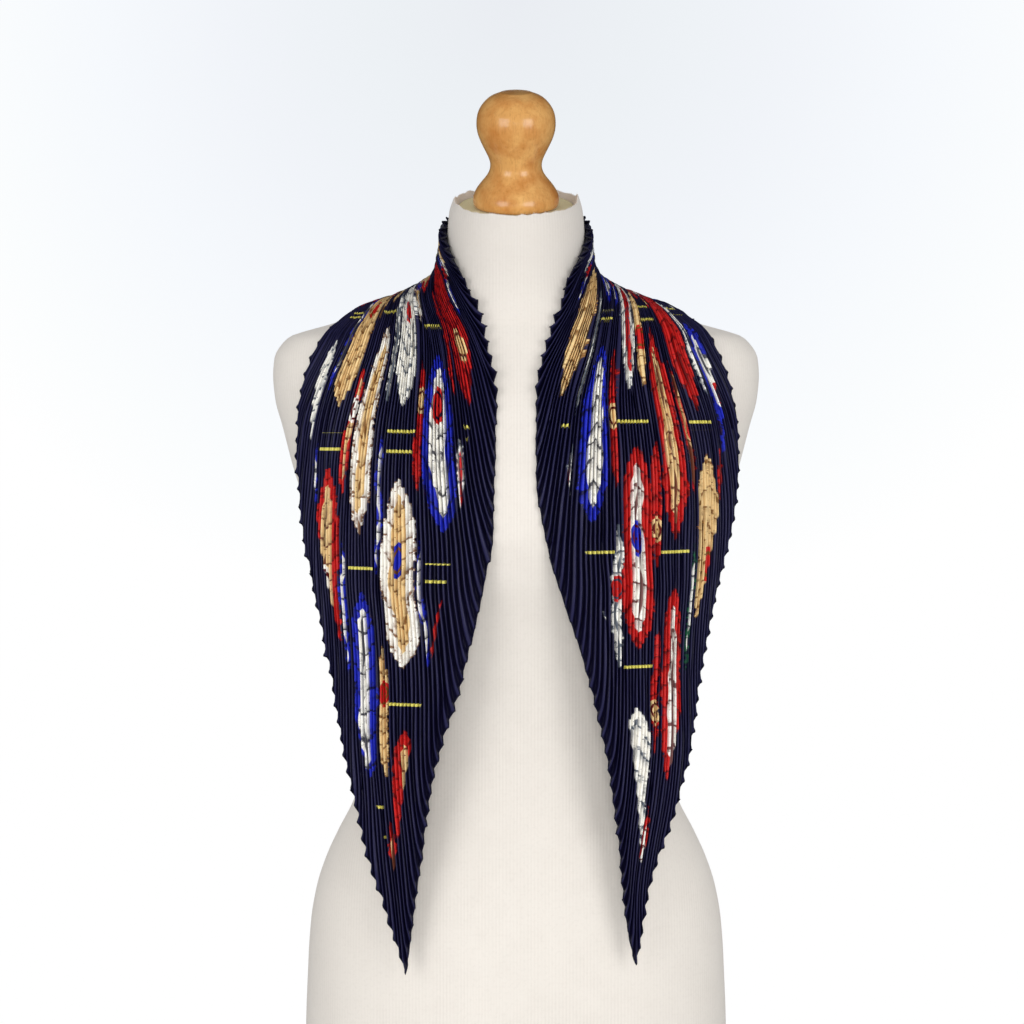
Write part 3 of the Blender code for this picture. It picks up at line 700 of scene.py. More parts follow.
depth *= 1 - flattened + flattened * smooth_step(to_cut / EDGE_REACH)
depth *= 1 + OWN_RISE * own_rise
print(f"teeth lean out by up to {tooth.max():.1f} mm")

# %% Raise the folds and creases off the drape
share = width_share(np.clip(order, -0.02, 1.02), reach) + np.sign(across) * tooth / np.maximum(width, 1)
ground, normal = drape_at(reach, share)
lift = np.zeros_like(reach)
for crease in CREASES:
    along = (reach - crease.reach) / crease.half_length
    aside = (share - crease.across) / crease.half_width
    fall = np.exp(-CREASE_FALL_ALONG * along**2) * np.exp(-CREASE_FALL_ACROSS * aside**2)
    lift += crease.height * fall
turned_out = COLLAR_LIFT * collar * np.exp(-to_cut / COLLAR_LIFT_REACH)
turned_out *= COLLAR_VALLEY + (1 - COLLAR_VALLEY) * ridge_like
lift += turned_out * (1 + COLLAR_UNEVEN * own_side)
points = ground + normal * (ridge_like * depth + lift)[:, None]
narrow, broad = np.percentile(pitch, [5, 95])
print(f"ridges are {narrow:.1f} to {broad:.1f} mm apart, and up to {depth.max():.1f} mm high")

# %% Join the lines of points with faces
starts = np.concatenate([[0], np.cumsum(counts)])
faces = []
for n in range(len(columns) - 1):
    a, b = columns[n].reach, columns[n + 1].reach
    p, q = starts[n], starts[n + 1]
    i = j = 0
    while i < len(a) - 1 or j < len(b) - 1:
        more_a, more_b = i < len(a) - 1, j < len(b) - 1
        if more_a and more_b and abs(a[i] - b[j]) < SAME and abs(a[i + 1] - b[j + 1]) < SAME:
            faces.append((p + i, p + i + 1, q + j + 1, q + j))
            i, j = i + 1, j + 1
        elif not more_b or (more_a and a[i + 1] + a[i] < b[j + 1] + b[j]):
            faces.append((p + i, p + i + 1, q + j))
            i += 1
        else:
            faces.append((p + i, q + j + 1, q + j))
            j += 1
points = pushed_clear(points, SKIN_CLEAR)
scarf = new_piece("pleated_scarf", points, faces)
scarf.data.shade_smooth()
if scarf.data.polygons[len(faces) // 2].normal.y < 0:  # at the centre back, outwards is backwards
    scarf.data.flip_normals()
triangles = sum(len(f.vertices) - 2 for f in scarf.data.polygons)
print("scarf:", triangles, "triangles")

# %% [markdown]
# ## The flat cloth as a UV map
#
# The scarf's UV map is the flat silk square itself: corner to corner is tip to tip. A print drawn in it
# folds with the cloth. The map is named OFBake.

# %% Flat-cloth UV map and the three solids it stands for
flat_x = (reach + across) / 2**0.5 / CUT_SIDE + 0.5
flat_y = (reach - across) / 2**0.5 / CUT_SIDE + 0.5
corner = np.empty(len(scarf.data.loops), dtype=np.int32)
scarf.data.loops.foreach_get("vertex_index", corner)
cloth_map = scarf.data.uv_layers.new(name="OFBake")
cloth_map.data.foreach_set("uv", np.stack([flat_x[corner], flat_y[corner]], axis=1).ravel())
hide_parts("scarf_left_end", "scarf_neck", "scarf_right_end")
area = sum(f.area for f in scarf.data.polygons)
print(f"cloth area {area:.3f} square metres, flat {(CUT_SIDE * MM) ** 2:.3f}")

# %% [markdown]
# ## The rolled hem
#
# The cut edge of a silk square is rolled between the fingers and caught with small slanting stitches. The
# roll follows a path, and the stitches repeat along it, so Geometry Nodes make both from one line: the
# sheet's own boundary. The roll is a circle swept along the line, and the stitches are one small bead
# placed at even steps.
#
# Node trees are long to write, so a few helpers come first. A *wire* is an output of a node. It can be
# added, multiplied and so on like a number, and each such sum becomes one Math node in the same tree.

# %% Wires, which are worked with like numbers
def plug(socket, value):
    """Link a socket to a wire, or set it to a plain value.  None leaves it alone."""
    if isinstance(value, Wire):
        socket.id_data.links.new(value.socket, socket)
    elif value is not None:
        socket.default_value = value


class Wire:
    """One output of a node."""

    def __init__(self, socket):
        self.socket = socket
        self.node = socket.node
        self.tree = socket.id_data

    def math(self, operation, other=None):
        return node(self.tree, "ShaderNodeMath", {"operation": operation}, (self, other))

    def __abs__(self):
        return self.math("ABSOLUTE")

    def __add__(self, other):
        return self.math("ADD", other)

    def __sub__(self, other):
        return self.math("SUBTRACT", other)

    def __rsub__(self, other):
        return node(self.tree, "ShaderNodeMath", {"operation": "SUBTRACT"}, (other, self))

    def __mul__(self, other):
        return self.math("MULTIPLY", other)

    def __truediv__(self, other):
        return self.math("DIVIDE", other)


# %% Nodes, and trees with named sockets
def node(tree, kind, settings=None, values=(), result=0, **inputs):
    """One node with its settings, its inputs in order and by name, and one of its outputs as a wire."""
    made = tree.nodes.new(kind)
    for name, value in (settings or {}).items():
        setattr(made, name, value)
    for socket, value in zip(made.inputs, values):
        plug(socket, value)
    for name, value in inputs.items():
        plug(made.inputs[name.replace("_", " ")], value)
    return Wire(made.outputs[result])


def new_tree(name, kind, inputs, outputs):
    """An empty tree, its inputs as wires, and the sockets for its results.  A number is a first value."""
    tree = bpy.data.node_groups.new(name, kind)
    for socket, value in inputs.items():
        type_name = {float: "Float", int: "Int"}.get(type(value), value)
        made = tree.interface.new_socket(name=socket, in_out="INPUT", socket_type="NodeSocket" + type_name)
        if type_name != value:
            made.default_value = value
    for socket, type_name in outputs.items():
        tree.interface.new_socket(name=socket, in_out="OUTPUT", socket_type="NodeSocket" + type_name)
    given = {socket.name: Wire(socket) for socket in tree.nodes.new("NodeGroupInput").outputs if socket.name}
    return tree, given, tree.nodes.new("NodeGroupOutput").inputs


# %% The cut edge as a line
def closed_line(name, points):
    """A closed line of points in millimetres, as a mesh of edges for Geometry Nodes to follow."""
    mesh = bpy.data.meshes.new(name)
    edges = [(n, (n + 1) % len(points)) for n in range(len(points))]
    mesh.from_pydata((np.asarray(points) * MM).tolist(), edges, [])
    return placed_in_scene(name, mesh)


left_end = starts[:-1]
right_end = starts[1:] - 1
middle_column = int(np.argmin([abs(column.across) for column in columns]))
loop = [*left_end[middle_column:], *right_end[: middle_column - 1 : -1]]
loop += [*right_end[middle_column - 1 :: -1], *left_end[:middle_column]]
loop = [v for n, v in enumerate(loop) if v != loop[n - 1]]
edge_points = points[loop]
edge_line = closed_line("hem_line", edge_points)
edge_length = np.linalg.norm(np.diff(edge_points, axis=0), axis=1).sum() * MM
print(f"the cut edge is {edge_length:.2f} m long as it lies")

# %% Sweep the roll and set the stitches
ROLL_RADIUS, ROLL_SIDES = 0.6 * MM, 6
STITCH_SPACING, STITCH_RADIUS = 4.5 * MM, 0.2 * MM
STITCH_WIDER, STITCH_LONGER = 3.6, 2.0


def set_out(add, points, shape, turn, size, material):
    """Copies of a shape at points, turned and stretched, as real geometry with its material."""
    copies = add("GeometryNodeInstanceOnPoints", Points=points, Instance=shape, Rotation=turn, Scale=size)
    copies = add("GeometryNodeRealizeInstances", Geometry=copies)
    return add("GeometryNodeSetMaterial", Geometry=copies, Material=material)


hem_silk = bpy.data.materials.new("hem silk")
thread = bpy.data.materials.new("hem thread")
hem_tree, given, made_into = new_tree(
    "rolled hem",
    "GeometryNodeTree",
    {
        "Cut edge": "Geometry",
        "Roll radius": ROLL_RADIUS,
        "Stitch spacing": STITCH_SPACING,
        "Stitch radius": STITCH_RADIUS,
    },
    {"Hem": "Geometry"},
)
add = partial(node, hem_tree)
path = add("GeometryNodeMeshToCurve", Mesh=given["Cut edge"])
circle = add("GeometryNodeCurvePrimitiveCircle", Resolution=ROLL_SIDES, Radius=given["Roll radius"])
roll = add("GeometryNodeCurveToMesh", Curve=path, Profile_Curve=circle)
roll = add("GeometryNodeSetMaterial", Geometry=roll, Material=hem_silk)
steps = add("GeometryNodeResampleCurve", {"mode": "LENGTH"}, Curve=path, Length=given["Stitch spacing"])
turn = add("FunctionNodeAlignEulerToVector", {"axis": "Z"}, Vector=add("GeometryNodeInputTangent"))
bead = add("GeometryNodeMeshIcoSphere", Subdivisions=1, Radius=given["Stitch radius"])
size = add("ShaderNodeCombineXYZ", X=STITCH_WIDER, Y=STITCH_WIDER, Z=STITCH_LONGER)
both = add("GeometryNodeJoinGeometry", values=[set_out(add, steps, bead, turn, size, thread)])
plug(both.node.inputs[0], roll)
plug(made_into["Hem"], add("GeometryNodeRealizeInstances", Geometry=both))


# %% Keep what a tree makes as a plain mesh
def finished_by(tree, source, name, values):
    """Run a Geometry Nodes tree on a piece and keep the result as a plain mesh."""
    modifier = source.modifiers.new(tree.name, "NODES")
    modifier.node_group = tree
    for item in tree.interface.items_tree:
        if item.item_type == "SOCKET" and item.in_out == "INPUT" and item.name in values:
            modifier[item.identifier] = values[item.name]
    graph = bpy.context.evaluated_depsgraph_get()
    mesh = bpy.data.meshes.new_from_object(source.evaluated_get(graph), depsgraph=graph)
    bpy.data.objects.remove(source)
    while None in mesh.materials[:]:
        mesh.materials.pop(index=mesh.materials[:].index(None))
    mesh.name = name
    mesh.shade_smooth()
    piece = placed_in_scene(name, mesh)
    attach(piece, "root")
    return piece


hem_sizes = {"Roll radius": ROLL_RADIUS, "Stitch spacing": STITCH_SPACING}
hem = finished_by(hem_tree, edge_line, "rolled_hem", hem_sizes)
print("hem:", len(hem.data.polygons), "faces, materials", [m.name for m in hem.data.materials])

# %% [markdown]
# ## The frayed edge of the jersey
#
# Where the cover was cut off, single threads stand out of it, each about a millimetre long. One thread is a
# thin cone of four sides. Geometry Nodes set it at even steps along the edge and turn and stretch each one
# by seeded chance, which is quicker than modelling a fringe and gives the same threads each time.

# %% Threads along the cut edge
THREADS, THREAD_SEED = 280, 3
THREAD_FOOT, THREAD_END, THREAD_LENGTH = 0.08 * MM, 0.03 * MM, 1.1 * MM
THREAD_LEAST, THREAD_MOST = (-1.0, -1.0, 0.15), (1.0, 1.0, 1.4)  # the directions that a thread may take
SHORTEST, LONGEST = 0.2, 1.3  # shares of the length
loose_thread = bpy.data.materials.new("loose thread")
fray_tree, given, made_into = new_tree(
    "frayed edge",
    "GeometryNodeTree",
    {
        "Cut edge": "Geometry",
        "Threads": THREADS,
        "Thread radius": THREAD_FOOT,
        "Thread length": THREAD_LENGTH,
        "Spread": 0.9,
        "Seed": THREAD_SEED,
    },
    {"Threads": "Geometry"},
)
add = partial(node, fray_tree)
path = add("GeometryNodeMeshToCurve", Mesh=given["Cut edge"])
spots = add("GeometryNodeResampleCurve", Curve=path, Count=given["Threads"])
cone = add("GeometryNodeMeshCone", Vertices=4, Radius_Bottom=given["Thread radius"], Radius_Top=THREAD_END)
plug(cone.node.inputs["Depth"], given["Thread length"])
directions, numbers = {"data_type": "FLOAT_VECTOR"}, {"data_type": "FLOAT"}
way = add("FunctionNodeRandomValue", directions, (THREAD_LEAST, THREAD_MOST), Seed=given["Seed"])
stretch = add("FunctionNodeRandomValue", numbers, (None, None, SHORTEST, LONGEST), 1, Seed=given["Seed"])
turn = add("FunctionNodeAlignEulerToVector", {"axis": "Z"}, Factor=given["Spread"], Vector=way)
size = add("ShaderNodeCombineXYZ", X=1.0, Y=1.0, Z=stretch)
plug(made_into["Threads"], set_out(add, spots, cone, turn, size, loose_thread))
jersey_edge = closed_line("jersey_edge", edge_ring)
frayed = finished_by(fray_tree, jersey_edge, "frayed_edge", {"Threads": THREADS, "Seed": THREAD_SEED})
print("frayed edge:", len(frayed.data.polygons), "faces")

# %% [markdown]
# ## The print
#
# A printed silk has a ground colour, a few inks and crisp edges. Here the ground is navy and the motif is a
# long leaf with a heart, a midrib, side veins and sometimes a ringed seed, set out as a *half-drop*: every
# second column starts half a step lower, so no stripes of motif line up. All of it is worked out from the
# flat-cloth UV map, so it is the cloth that is printed, and the pleats show only the strips on their
# ridges.

# %% Small shader helpers
def parts_of(value, kind="XYZ"):
    """The three parts of a place, or of a colour with kind="Color"."""
    parted = node(value.tree, "ShaderNodeSeparate" + kind, values=[value]).node
    return [Wire(socket) for socket in parted.outputs]


def most(first, *others):
    """The greatest of several values at each point."""
    for other in others:
        first = first.math("MAXIMUM", other)
    return first


def mixed(share, a, b):
    """A colour between a and b."""
    made = node(share.tree, "ShaderNodeMix", {"data_type": "RGBA"}, [share], 2)
    plug(made.node.inputs[6], a)
    plug(made.node.inputs[7], b)
    return made


def between(value, low, high):
    """0 at low, 1 at high, straight between and held past them; low may be the higher one."""
    return node(value.tree, "ShaderNodeMapRange", {"clamp": True}, (value, low, high))


def noise(place, scale, detail=3.0, roughness=0.5):
    sizes = {"Scale": scale, "Detail": detail, "Roughness": roughness}
    return node(place.tree, "ShaderNodeTexNoise", Vector=place, **sizes)


def ramp(value, stops, interpolation="LINEAR"):
    """A colour for each value, from a list of positions and colours."""
    made = node(value.tree, "ShaderNodeValToRGB", values=[value])
    made.node.color_ramp.interpolation = interpolation
    elements = made.node.color_ramp.elements
    for n, (position, colour) in enumerate(stops):
        stop = elements[n] if n < 2 else elements.new(position)
        stop.position, stop.color = position, colour
    return made


def linear(red, green, blue):
    """An sRGB colour, 0 to 255, as the linear one that Blender's sockets take."""
    wide = [v / 255 for v in (red, green, blue)]
    return (*(v / 12.92 if v <= 0.04045 else ((v + 0.055) / 1.055) ** 2.4 for v in wide), 1.0)


def painted(colour, *coats):
    """An sRGB colour with others laid over it in turn, each as strong as its mask."""
    colour = linear(*colour)
    for mask, over in coats:
        colour = mixed(mask, colour, linear(*over))
    return colour


# %% Places on the flat cloth, in millimetres
cloth_place, given, made_into = new_tree(
    "cloth place",
    "ShaderNodeTree",
    {"UV": "Vector", "Cut side": CUT_SIDE},
    {"Along": "Float", "Across": "Float", "From edge": "Float"},
)
u, v, _ = parts_of(given["UV"])
half_diagonal = given["Cut side"] * 0.5**0.5
plug(made_into["Along"], (u + v - 1.0) * half_diagonal)
plug(made_into["Across"], (u - v) * half_diagonal)
plug(made_into["From edge"], (0.5 - most(abs(u - 0.5), abs(v - 0.5))) * given["Cut side"])
print("cloth place:", len(cloth_place.nodes), "nodes")

# %% Inks, and which go together on a leaf
INK = {
    "navy": linear(16, 14, 46),
    "red": linear(206, 34, 32),
    "deep red": linear(96, 8, 14),
    "ivory": linear(255, 252, 244),
    "blue": linear(34, 46, 190),
    "gold": linear(238, 206, 148),
    "yellow": linear(232, 222, 110),
    "grey": linear(62, 76, 96),
    "brown": linear(124, 76, 26),
    "green": linear(30, 92, 62),
}
LEAF_INKS = table("share_from leaf heart strokes seed", [
    (0.00, "red", "red", "deep red", "gold"),
    (0.13, "ivory", "ivory", "grey", "red"),
    (0.32, "red", "gold", "deep red", "ivory"),
    (0.45, "blue", "ivory", "navy", "red"),
    (0.58, "gold", "gold", "brown", "red"),
    (0.70, "ivory", "red", "grey", "blue"),
    (0.80, "ivory", "gold", "brown", "blue"),
    (0.90, "red", "ivory", "deep red", "blue"),
    (0.97, "green", "ivory", "navy", "gold"),
])
print(len(LEAF_INKS), "sets of inks")

# %% One half-drop field of leaves: where a point lies in its leaf
leaf_field, given, made_into = new_tree(
    "leaf field",
    "ShaderNodeTree",
    {
        "Along": 0.0,
        "Across": 0.0,
        "Step along": 176.0,
        "Step across": 132.0,
        "Shift across": 0.0,
        "Least width": 0.25,
        "Extra width": 0.17,
        "Vein step": 15.0,
        "Seed": 1.0,
    },
    {"Ink": "Color", "Leaf": "Float", "Bar": "Float"},
)
column_at = (given["Across"] + given["Shift across"]) / given["Step across"]
column = column_at.math("FLOOR")
drop = column.math("FLOORED_MODULO", 2.0) * 0.5
row_at = given["Along"] / given["Step along"] + drop
row = row_at.math("FLOOR")
cell = node(leaf_field, "ShaderNodeCombineXYZ", X=column, Y=row, Z=given["Seed"])
dice = node(leaf_field, "ShaderNodeTexWhiteNoise", {"noise_dimensions": "3D"}, result="Color", Vector=cell)
first_die, second_die, third_die = parts_of(dice, "Color")
brush_place = node(leaf_field, "ShaderNodeCombineXYZ", X=given["Across"] * 0.03, Y=given["Along"] * 0.06)
ragged = noise(brush_place, 4.0, 4.0, 0.6) - 0.5
swaying = noise(brush_place, 0.35, 1.0) - 0.5
x = column_at - column - 0.5 + swaying * 0.3
y = row_at - row - 0.5 + (second_die - 0.5) * 0.1
off_middle = abs(x)

# %% The leaf's outline, heart and seed, in shares of the steps
CRISP = 0.006  # an ink's edge is this soft
EDGE_RAGGED = 0.16
HALF_LONG, HALF_LONGER = 0.345, 0.09
BLUNT = 4.5  # a higher power gives a leaf with fuller ends
HEART_SHARE = 0.52
SEED_WIDE, SEED_LONG, SEED_UP = 0.13, 0.075, 0.15
half_long = first_die * HALF_LONGER + HALF_LONG
half_wide = second_die * given["Extra width"] + given["Least width"]
body = most(1.0 - abs(y / half_long).math("POWER", BLUNT), -1.0) * half_wide
inside = body + ragged * EDGE_RAGGED - off_middle
heart_at = half_wide * HEART_SHARE + ragged * EDGE_RAGGED
heart = between(inside - heart_at, 0.0, CRISP)
seed_x = x / SEED_WIDE
seed_y = (y - SEED_UP + first_die * 0.3) / SEED_LONG
seed_at = (seed_x * seed_x + seed_y * seed_y).math("SQRT")
seed = between(seed_at, 1.0, 0.97) * between(second_die, 0.55, 0.56)  # not every leaf has one
ring = seed * between(seed_at.math("PINGPONG", 0.34), 0.10, 0.06)

# %% Veins, brush strokes and flecks, and the finished field
vein_at = given["Along"] / given["Vein step"] - off_middle * 3.0 + swaying * 2.4 + ragged * 0.5
patchy = noise(brush_place, 1.1, 3.0, 0.6)
veins = between(vein_at.math("PINGPONG", 0.5), 0.09, 0.05) * between(patchy, 0.40, 0.47)
feathered = between(vein_at.math("FRACT"), 0.55, 0.0) * between(patchy, 0.45, 0.62)
washed = between(noise(brush_place, 1.7, 5.0, 0.65), 0.54, 0.68)
flecks = between(noise(brush_place, 9.0, 2.0), 0.66, 0.69)
midrib = between(off_middle, 0.022, 0.014) * between(first_die, 0.45, 0.46)
rim_line = between(inside, 0.020, 0.012)
strokes = most(veins, washed * 0.7, feathered * 0.75, flecks, midrib, rim_line)
strokes = most(strokes * (0.92 - seed), ring)
inks = {}
for part in ("leaf", "heart", "seed", "strokes"):
    stops = [(entry.share_from, INK[getattr(entry, part)]) for entry in LEAF_INKS]
    inks[part] = ramp(third_die, stops, "CONSTANT")
leaf_ink = mixed(seed, mixed(heart, inks["leaf"], inks["heart"]), inks["seed"])
from_bar = abs(abs(y) - 0.47)
bar = between(from_bar, 0.0066, 0.0052) * between(off_middle, 0.38, 0.375)
plug(made_into["Ink"], mixed(strokes, leaf_ink, inks["strokes"]))
plug(made_into["Leaf"], between(inside, 0.0, CRISP))
plug(made_into["Bar"], bar * between(second_die, 0.35, 0.36))
print("leaf field:", len(leaf_field.nodes), "nodes")

# %% [markdown]
# ## Silk
#
# Silk twill is smooth and catches light in a long soft band, so it is a fairly glossy surface with a little
# sheen. Its weave is a fine diagonal rib, far too small to model: a Bump node makes it from a wave pattern
# on the flat cloth. The same group of nodes serves the jersey and the board later, with other numbers. Two
# fields of leaves, a wide one and a slim one, lie inside a plain border. A faint pale line painted along
# each pleat's ridge stands for its highlight, and painted shade darkens the print towards the valley.

# %% A woven or knitted rib, for more than one cloth
rib, given, made_into = new_tree(
    "fine rib",
    "ShaderNodeTree",
    {"Place": "Vector", "Lines per unit": 900.0, "Turn": 0.0, "Unevenness": 0.2},
    {"Height": "Float", "Slub": "Float"},
)
angle = node(rib, "ShaderNodeCombineXYZ", Z=given["Turn"])
turned = node(rib, "ShaderNodeMapping", Vector=given["Place"], Rotation=angle)
slub = noise(turned, 60.0, 4.0, 0.6)
phase = parts_of(turned)[0] * (given["Lines per unit"] * (2 * math.pi))
wave = phase.math("SINE") * 0.5 + 0.5
plug(made_into["Height"], wave + (slub - 0.5) * given["Unevenness"])
plug(made_into["Slub"], slub)
print("fine rib:", len(rib.nodes), "nodes")


# %% Each material starts from one plain shader
def shader_of(material, roughness, **values):
    """A new Principled shader on the material, with its plain numbers set on its own sockets."""
    material.use_nodes = True
    tree = material.node_tree
    tree.nodes.clear()
    shader = tree.nodes.new("ShaderNodeBsdfPrincipled")
    tree.links.new(shader.outputs[0], tree.nodes.new("ShaderNodeOutputMaterial").inputs[0])
    for name, value in {"Roughness": roughness, **values}.items():
        shader.inputs[name.replace("_", " ")].default_value = value
    return tree, shader


def group(tree, made, **inputs):
    """A node group placed in a tree; gives its outputs by name."""
    placed = node(tree, "ShaderNodeGroup", {"node_tree": made}, **inputs).node
    return {socket.name: Wire(socket) for socket in placed.outputs}


def ribbed(place, lines, degrees, unevenness):
    """The rib at a place: so many lines to the unit, turned by so many degrees."""
    settings = {"Lines_per_unit": lines, "Turn": math.radians(degrees), "Unevenness": unevenness}
    return group(place.tree, rib, Place=place, **settings)


def object_place(tree):
    return node(tree, "ShaderNodeTexCoord", result="Object")


def finish(shader, colour, roughness, height, depth, strength):
    """What changes over the surface: its colour, its roughness and its fine relief."""
    relief = node(shader.id_data, "ShaderNodeBump", Height=height, Distance=depth, Strength=strength)
    plug(shader.inputs["Base Color"], colour)
    plug(shader.inputs["Roughness"], roughness)
    plug(shader.inputs["Normal"], relief)


# %% Printed silk
PLAIN_BORDER = 50.0  # mm from the hem to the first leaf
SLIM_LEAVES = {
    "Shift_across": 66.0,
    "Step_along": 128.0,
    "Least_width": 0.07,
    "Extra_width": 0.06,
    "Vein_step": 10.0,
    "Seed": 11.3,
}
silk = bpy.data.materials.new("printed silk")
tree, shader = shader_of(silk, 0.42, Sheen_Weight=0.04, Sheen_Roughness=0.3, Specular_IOR_Level=0.3)
shader.inputs["Sheen Tint"].default_value = linear(90, 90, 220)
flat = node(tree, "ShaderNodeUVMap", {"uv_map": "OFBake"})
place = group(tree, cloth_place, UV=flat)
wide = group(tree, leaf_field, Along=place["Along"], Across=place["Across"], Seed=4.7)
slim = group(tree, leaf_field, Along=place["Along"], Across=place["Across"], **SLIM_LEAVES)
weave = ribbed(flat, 1300.0, 63, 0.4)
in_field = between(place["From edge"], PLAIN_BORDER, PLAIN_BORDER + 1.5)
printed = most(wide["Leaf"], slim["Leaf"], wide["Bar"]) * in_field
off_ridge = (place["Across"] / PLEAT_CLOTH).math("PINGPONG", 0.5)
# painted highlight: a pale line along each pleat's ridge
painted_ridge_highlight = between(off_ridge, 0.13, 0.03)
# painted shade: the print darkens towards each pleat's valley
painted_valley_shade = between(off_ridge, 0.30, 0.44) * 0.85
slubs = between(weave["Slub"], 0.2, 0.8)
# the navy ground, with the painted ridge highlight laid over it
ground_with_painted_highlight = painted((8, 6, 30), (slubs, (14, 12, 44)), (painted_ridge_highlight, (37, 36, 72)))
ink = mixed(wide["Leaf"], slim["Ink"], wide["Ink"])
ink = mixed(wide["Bar"], ink, INK["yellow"])
# painted shade in the valleys, laid over the print
ink = mixed(painted_valley_shade, ink, linear(10, 8, 24))
silk_colour = mixed(printed, ground_with_painted_highlight, ink)
finish(shader, silk_colour, weave["Slub"] * 0.18 + 0.33, weave["Height"], 0.05 * MM, 0.5)
scarf.data.materials.append(silk)

# %% Hem and thread
for plain, colour, scale in ((hem_silk, (10, 9, 30), 900.0), (thread, (20, 19, 50), 2500.0)):
    tree, shader = shader_of(plain, 0.45, Sheen_Weight=0.03, Specular_IOR_Level=0.25)
    speck = noise(object_place(tree), scale)
    lighter = [1.5 * value for value in colour]
    finish(shader, painted(colour, (speck, lighter)), speck * 0.2 + 0.35, speck, 0.08 * MM, 0.6)
print("silk, hem and thread are finished")

# %% [markdown]
# ## Jersey
#
# The cover is fine cotton jersey, matt and slightly warm. Close to, it has columns of loops a millimetre
# wide. They run up the form, so they are lines across the wrap map, with a little fuzz and faint wear.
# The jersey turns greyer towards the top of the neck, and one small old stain is left below the waist.

# %% Jersey finish
GREYED_FROM, GREYED_TO, GREYED = 560.0, 610.0, 0.32
STAIN_X, STAIN_UP, STAIN_WIDE, STAIN_CORE = -21.0, 152.0, 3.0, 0.2
tree, shader = shader_of(loose_thread, 0.9, Sheen_Weight=0.2)
speck = noise(object_place(tree), 900.0, 2.0)
plug(shader.inputs["Base Color"], painted((246, 240, 232), (speck, (232, 224, 214))))

jersey = bpy.data.materials.new("cream jersey")
tree, shader = shader_of(jersey, 0.9, Sheen_Weight=0.15, Sheen_Roughness=0.6, Specular_IOR_Level=0.25)
wrap = node(tree, "ShaderNodeUVMap", {"uv_map": "knit"})
knit = ribbed(wrap, 950.0, 0, 0.8)
streaks = ribbed(wrap, 410.0, 0, 1.6)
rows_of_knit = ribbed(wrap, 1250.0, 90, 0.4)
loops = rows_of_knit["Height"] * 0.35 + knit["Height"]
spot = object_place(tree)
patches = between(noise(spot, 9.0, 5.0), 0.35, 0.7)
greyed = between(parts_of(spot)[2], GREYED_FROM * MM, GREYED_TO * MM)
streak_seen = between(noise(spot, 24.0, 2.0), 0.35, 0.65) * 0.10 + 0.04
yarn = between(noise(wrap, 420.0, 2.0), 0.50, 0.72)
stain_place = (STAIN_X * MM, float(front_depth(STAIN_X, STAIN_UP)) * MM, STAIN_UP * MM)
off_stain = node(tree, "ShaderNodeVectorMath", {"operation": "DISTANCE"}, (spot, stain_place), "Value")
stain = between(off_stain, STAIN_WIDE * MM, STAIN_CORE * STAIN_WIDE * MM)
cream = painted(
    (238, 231, 222),
    (patches * 0.5, (232, 225, 216)),
    (greyed * GREYED, (196, 190, 184)),
    (loops * 0.12, (214, 204, 193)),
    (streaks["Height"] * streak_seen, (196, 186, 176)),
    (yarn * 0.13, (206, 198, 188)),
    (stain * 0.45, (206, 160, 110)),
)
finish(shader, cream, knit["Slub"] * 0.12 + 0.82, loops, 0.12 * MM, 0.45)
cover.data.materials.append(jersey)
print("jersey is finished")

# %% [markdown]
# ## Varnished wood and the neck board
#
# The knob is turned from a pale, close-grained wood and varnished to a honey colour, so it has two layers:
# wood with faint grain and darker clouds, and a clear glossy coat. The grain runs up the knob, so a Mapping
# node first stands the leaning knob upright, and a second one stretches the noise along its height. The
# board is covered with buckram, a stiff plain weave: two ribs that cross at a right angle.

# %% Wood and board finishes
VARNISH = {"Coat_Weight": 1.0, "Coat_Roughness": 0.2, "Coat_IOR": 1.55}
wood = bpy.data.materials.new("varnished wood")
tree, shader = shader_of(wood, 0.5, Specular_IOR_Level=0.15, **VARNISH)
untilted = (-math.radians(NECK_TILT), 0, 0)
upright = node(tree, "ShaderNodeMapping", Vector=object_place(tree), Rotation=untilted)
fibres = node(tree, "ShaderNodeMapping", Vector=upright, Scale=(1.0, 1.0, 0.2))
fine = noise(fibres, 700.0, 4.0, 0.65)
broad = noise(fibres, 46.0, 3.0, 0.5)
cloud = noise(upright, 55.0, 4.0, 0.6)
honey = painted(
    (232, 178, 106),
    (between(broad, 0.35, 0.68), (214, 154, 84)),
    (between(cloud, 0.42, 0.66) * 0.75, (194, 120, 50)),
    (between(fine, 0.50, 0.70) * 0.3, (158, 96, 40)),
)
finish(shader, honey, fine * 0.2 + 0.4, fine, 0.03 * MM, 0.3)
knob.data.materials.append(wood)

buckram = bpy.data.materials.new("buckram board")
tree, shader = shader_of(buckram, 0.85, Specular_IOR_Level=0.3)
spot = object_place(tree)
threads = ribbed(spot, 1400.0, 20, 0.8)
cloth_height = threads["Height"] + ribbed(spot, 1400.0, 110, 0.8)["Height"]
khaki = painted((238, 230, 190), (cloth_height * 0.4, (214, 204, 156)))
finish(shader, khaki, threads["Slub"] * 0.2 + 0.75, cloth_height, 0.1 * MM, 0.5)
board.data.materials.append(buckram)
print("wood and board are finished")

# %% [markdown]
# ## Studio
#
# This is how a shop takes such a picture. A *sweep* of white paper runs along the floor and curves up
# behind the form. It is only seen, and doesn't throw light, so that the form's sides turn a little grey.
# Two square soft boxes stand in front, the right one a little stronger. A low fill in front and one behind
# lighten the rest and don't show in gloss, and a faint lamp behind marks the knob's top. Past the paper's
# edges the camera sees plain white. The camera has a long lens and stands three metres away, a little above
# the form's middle.

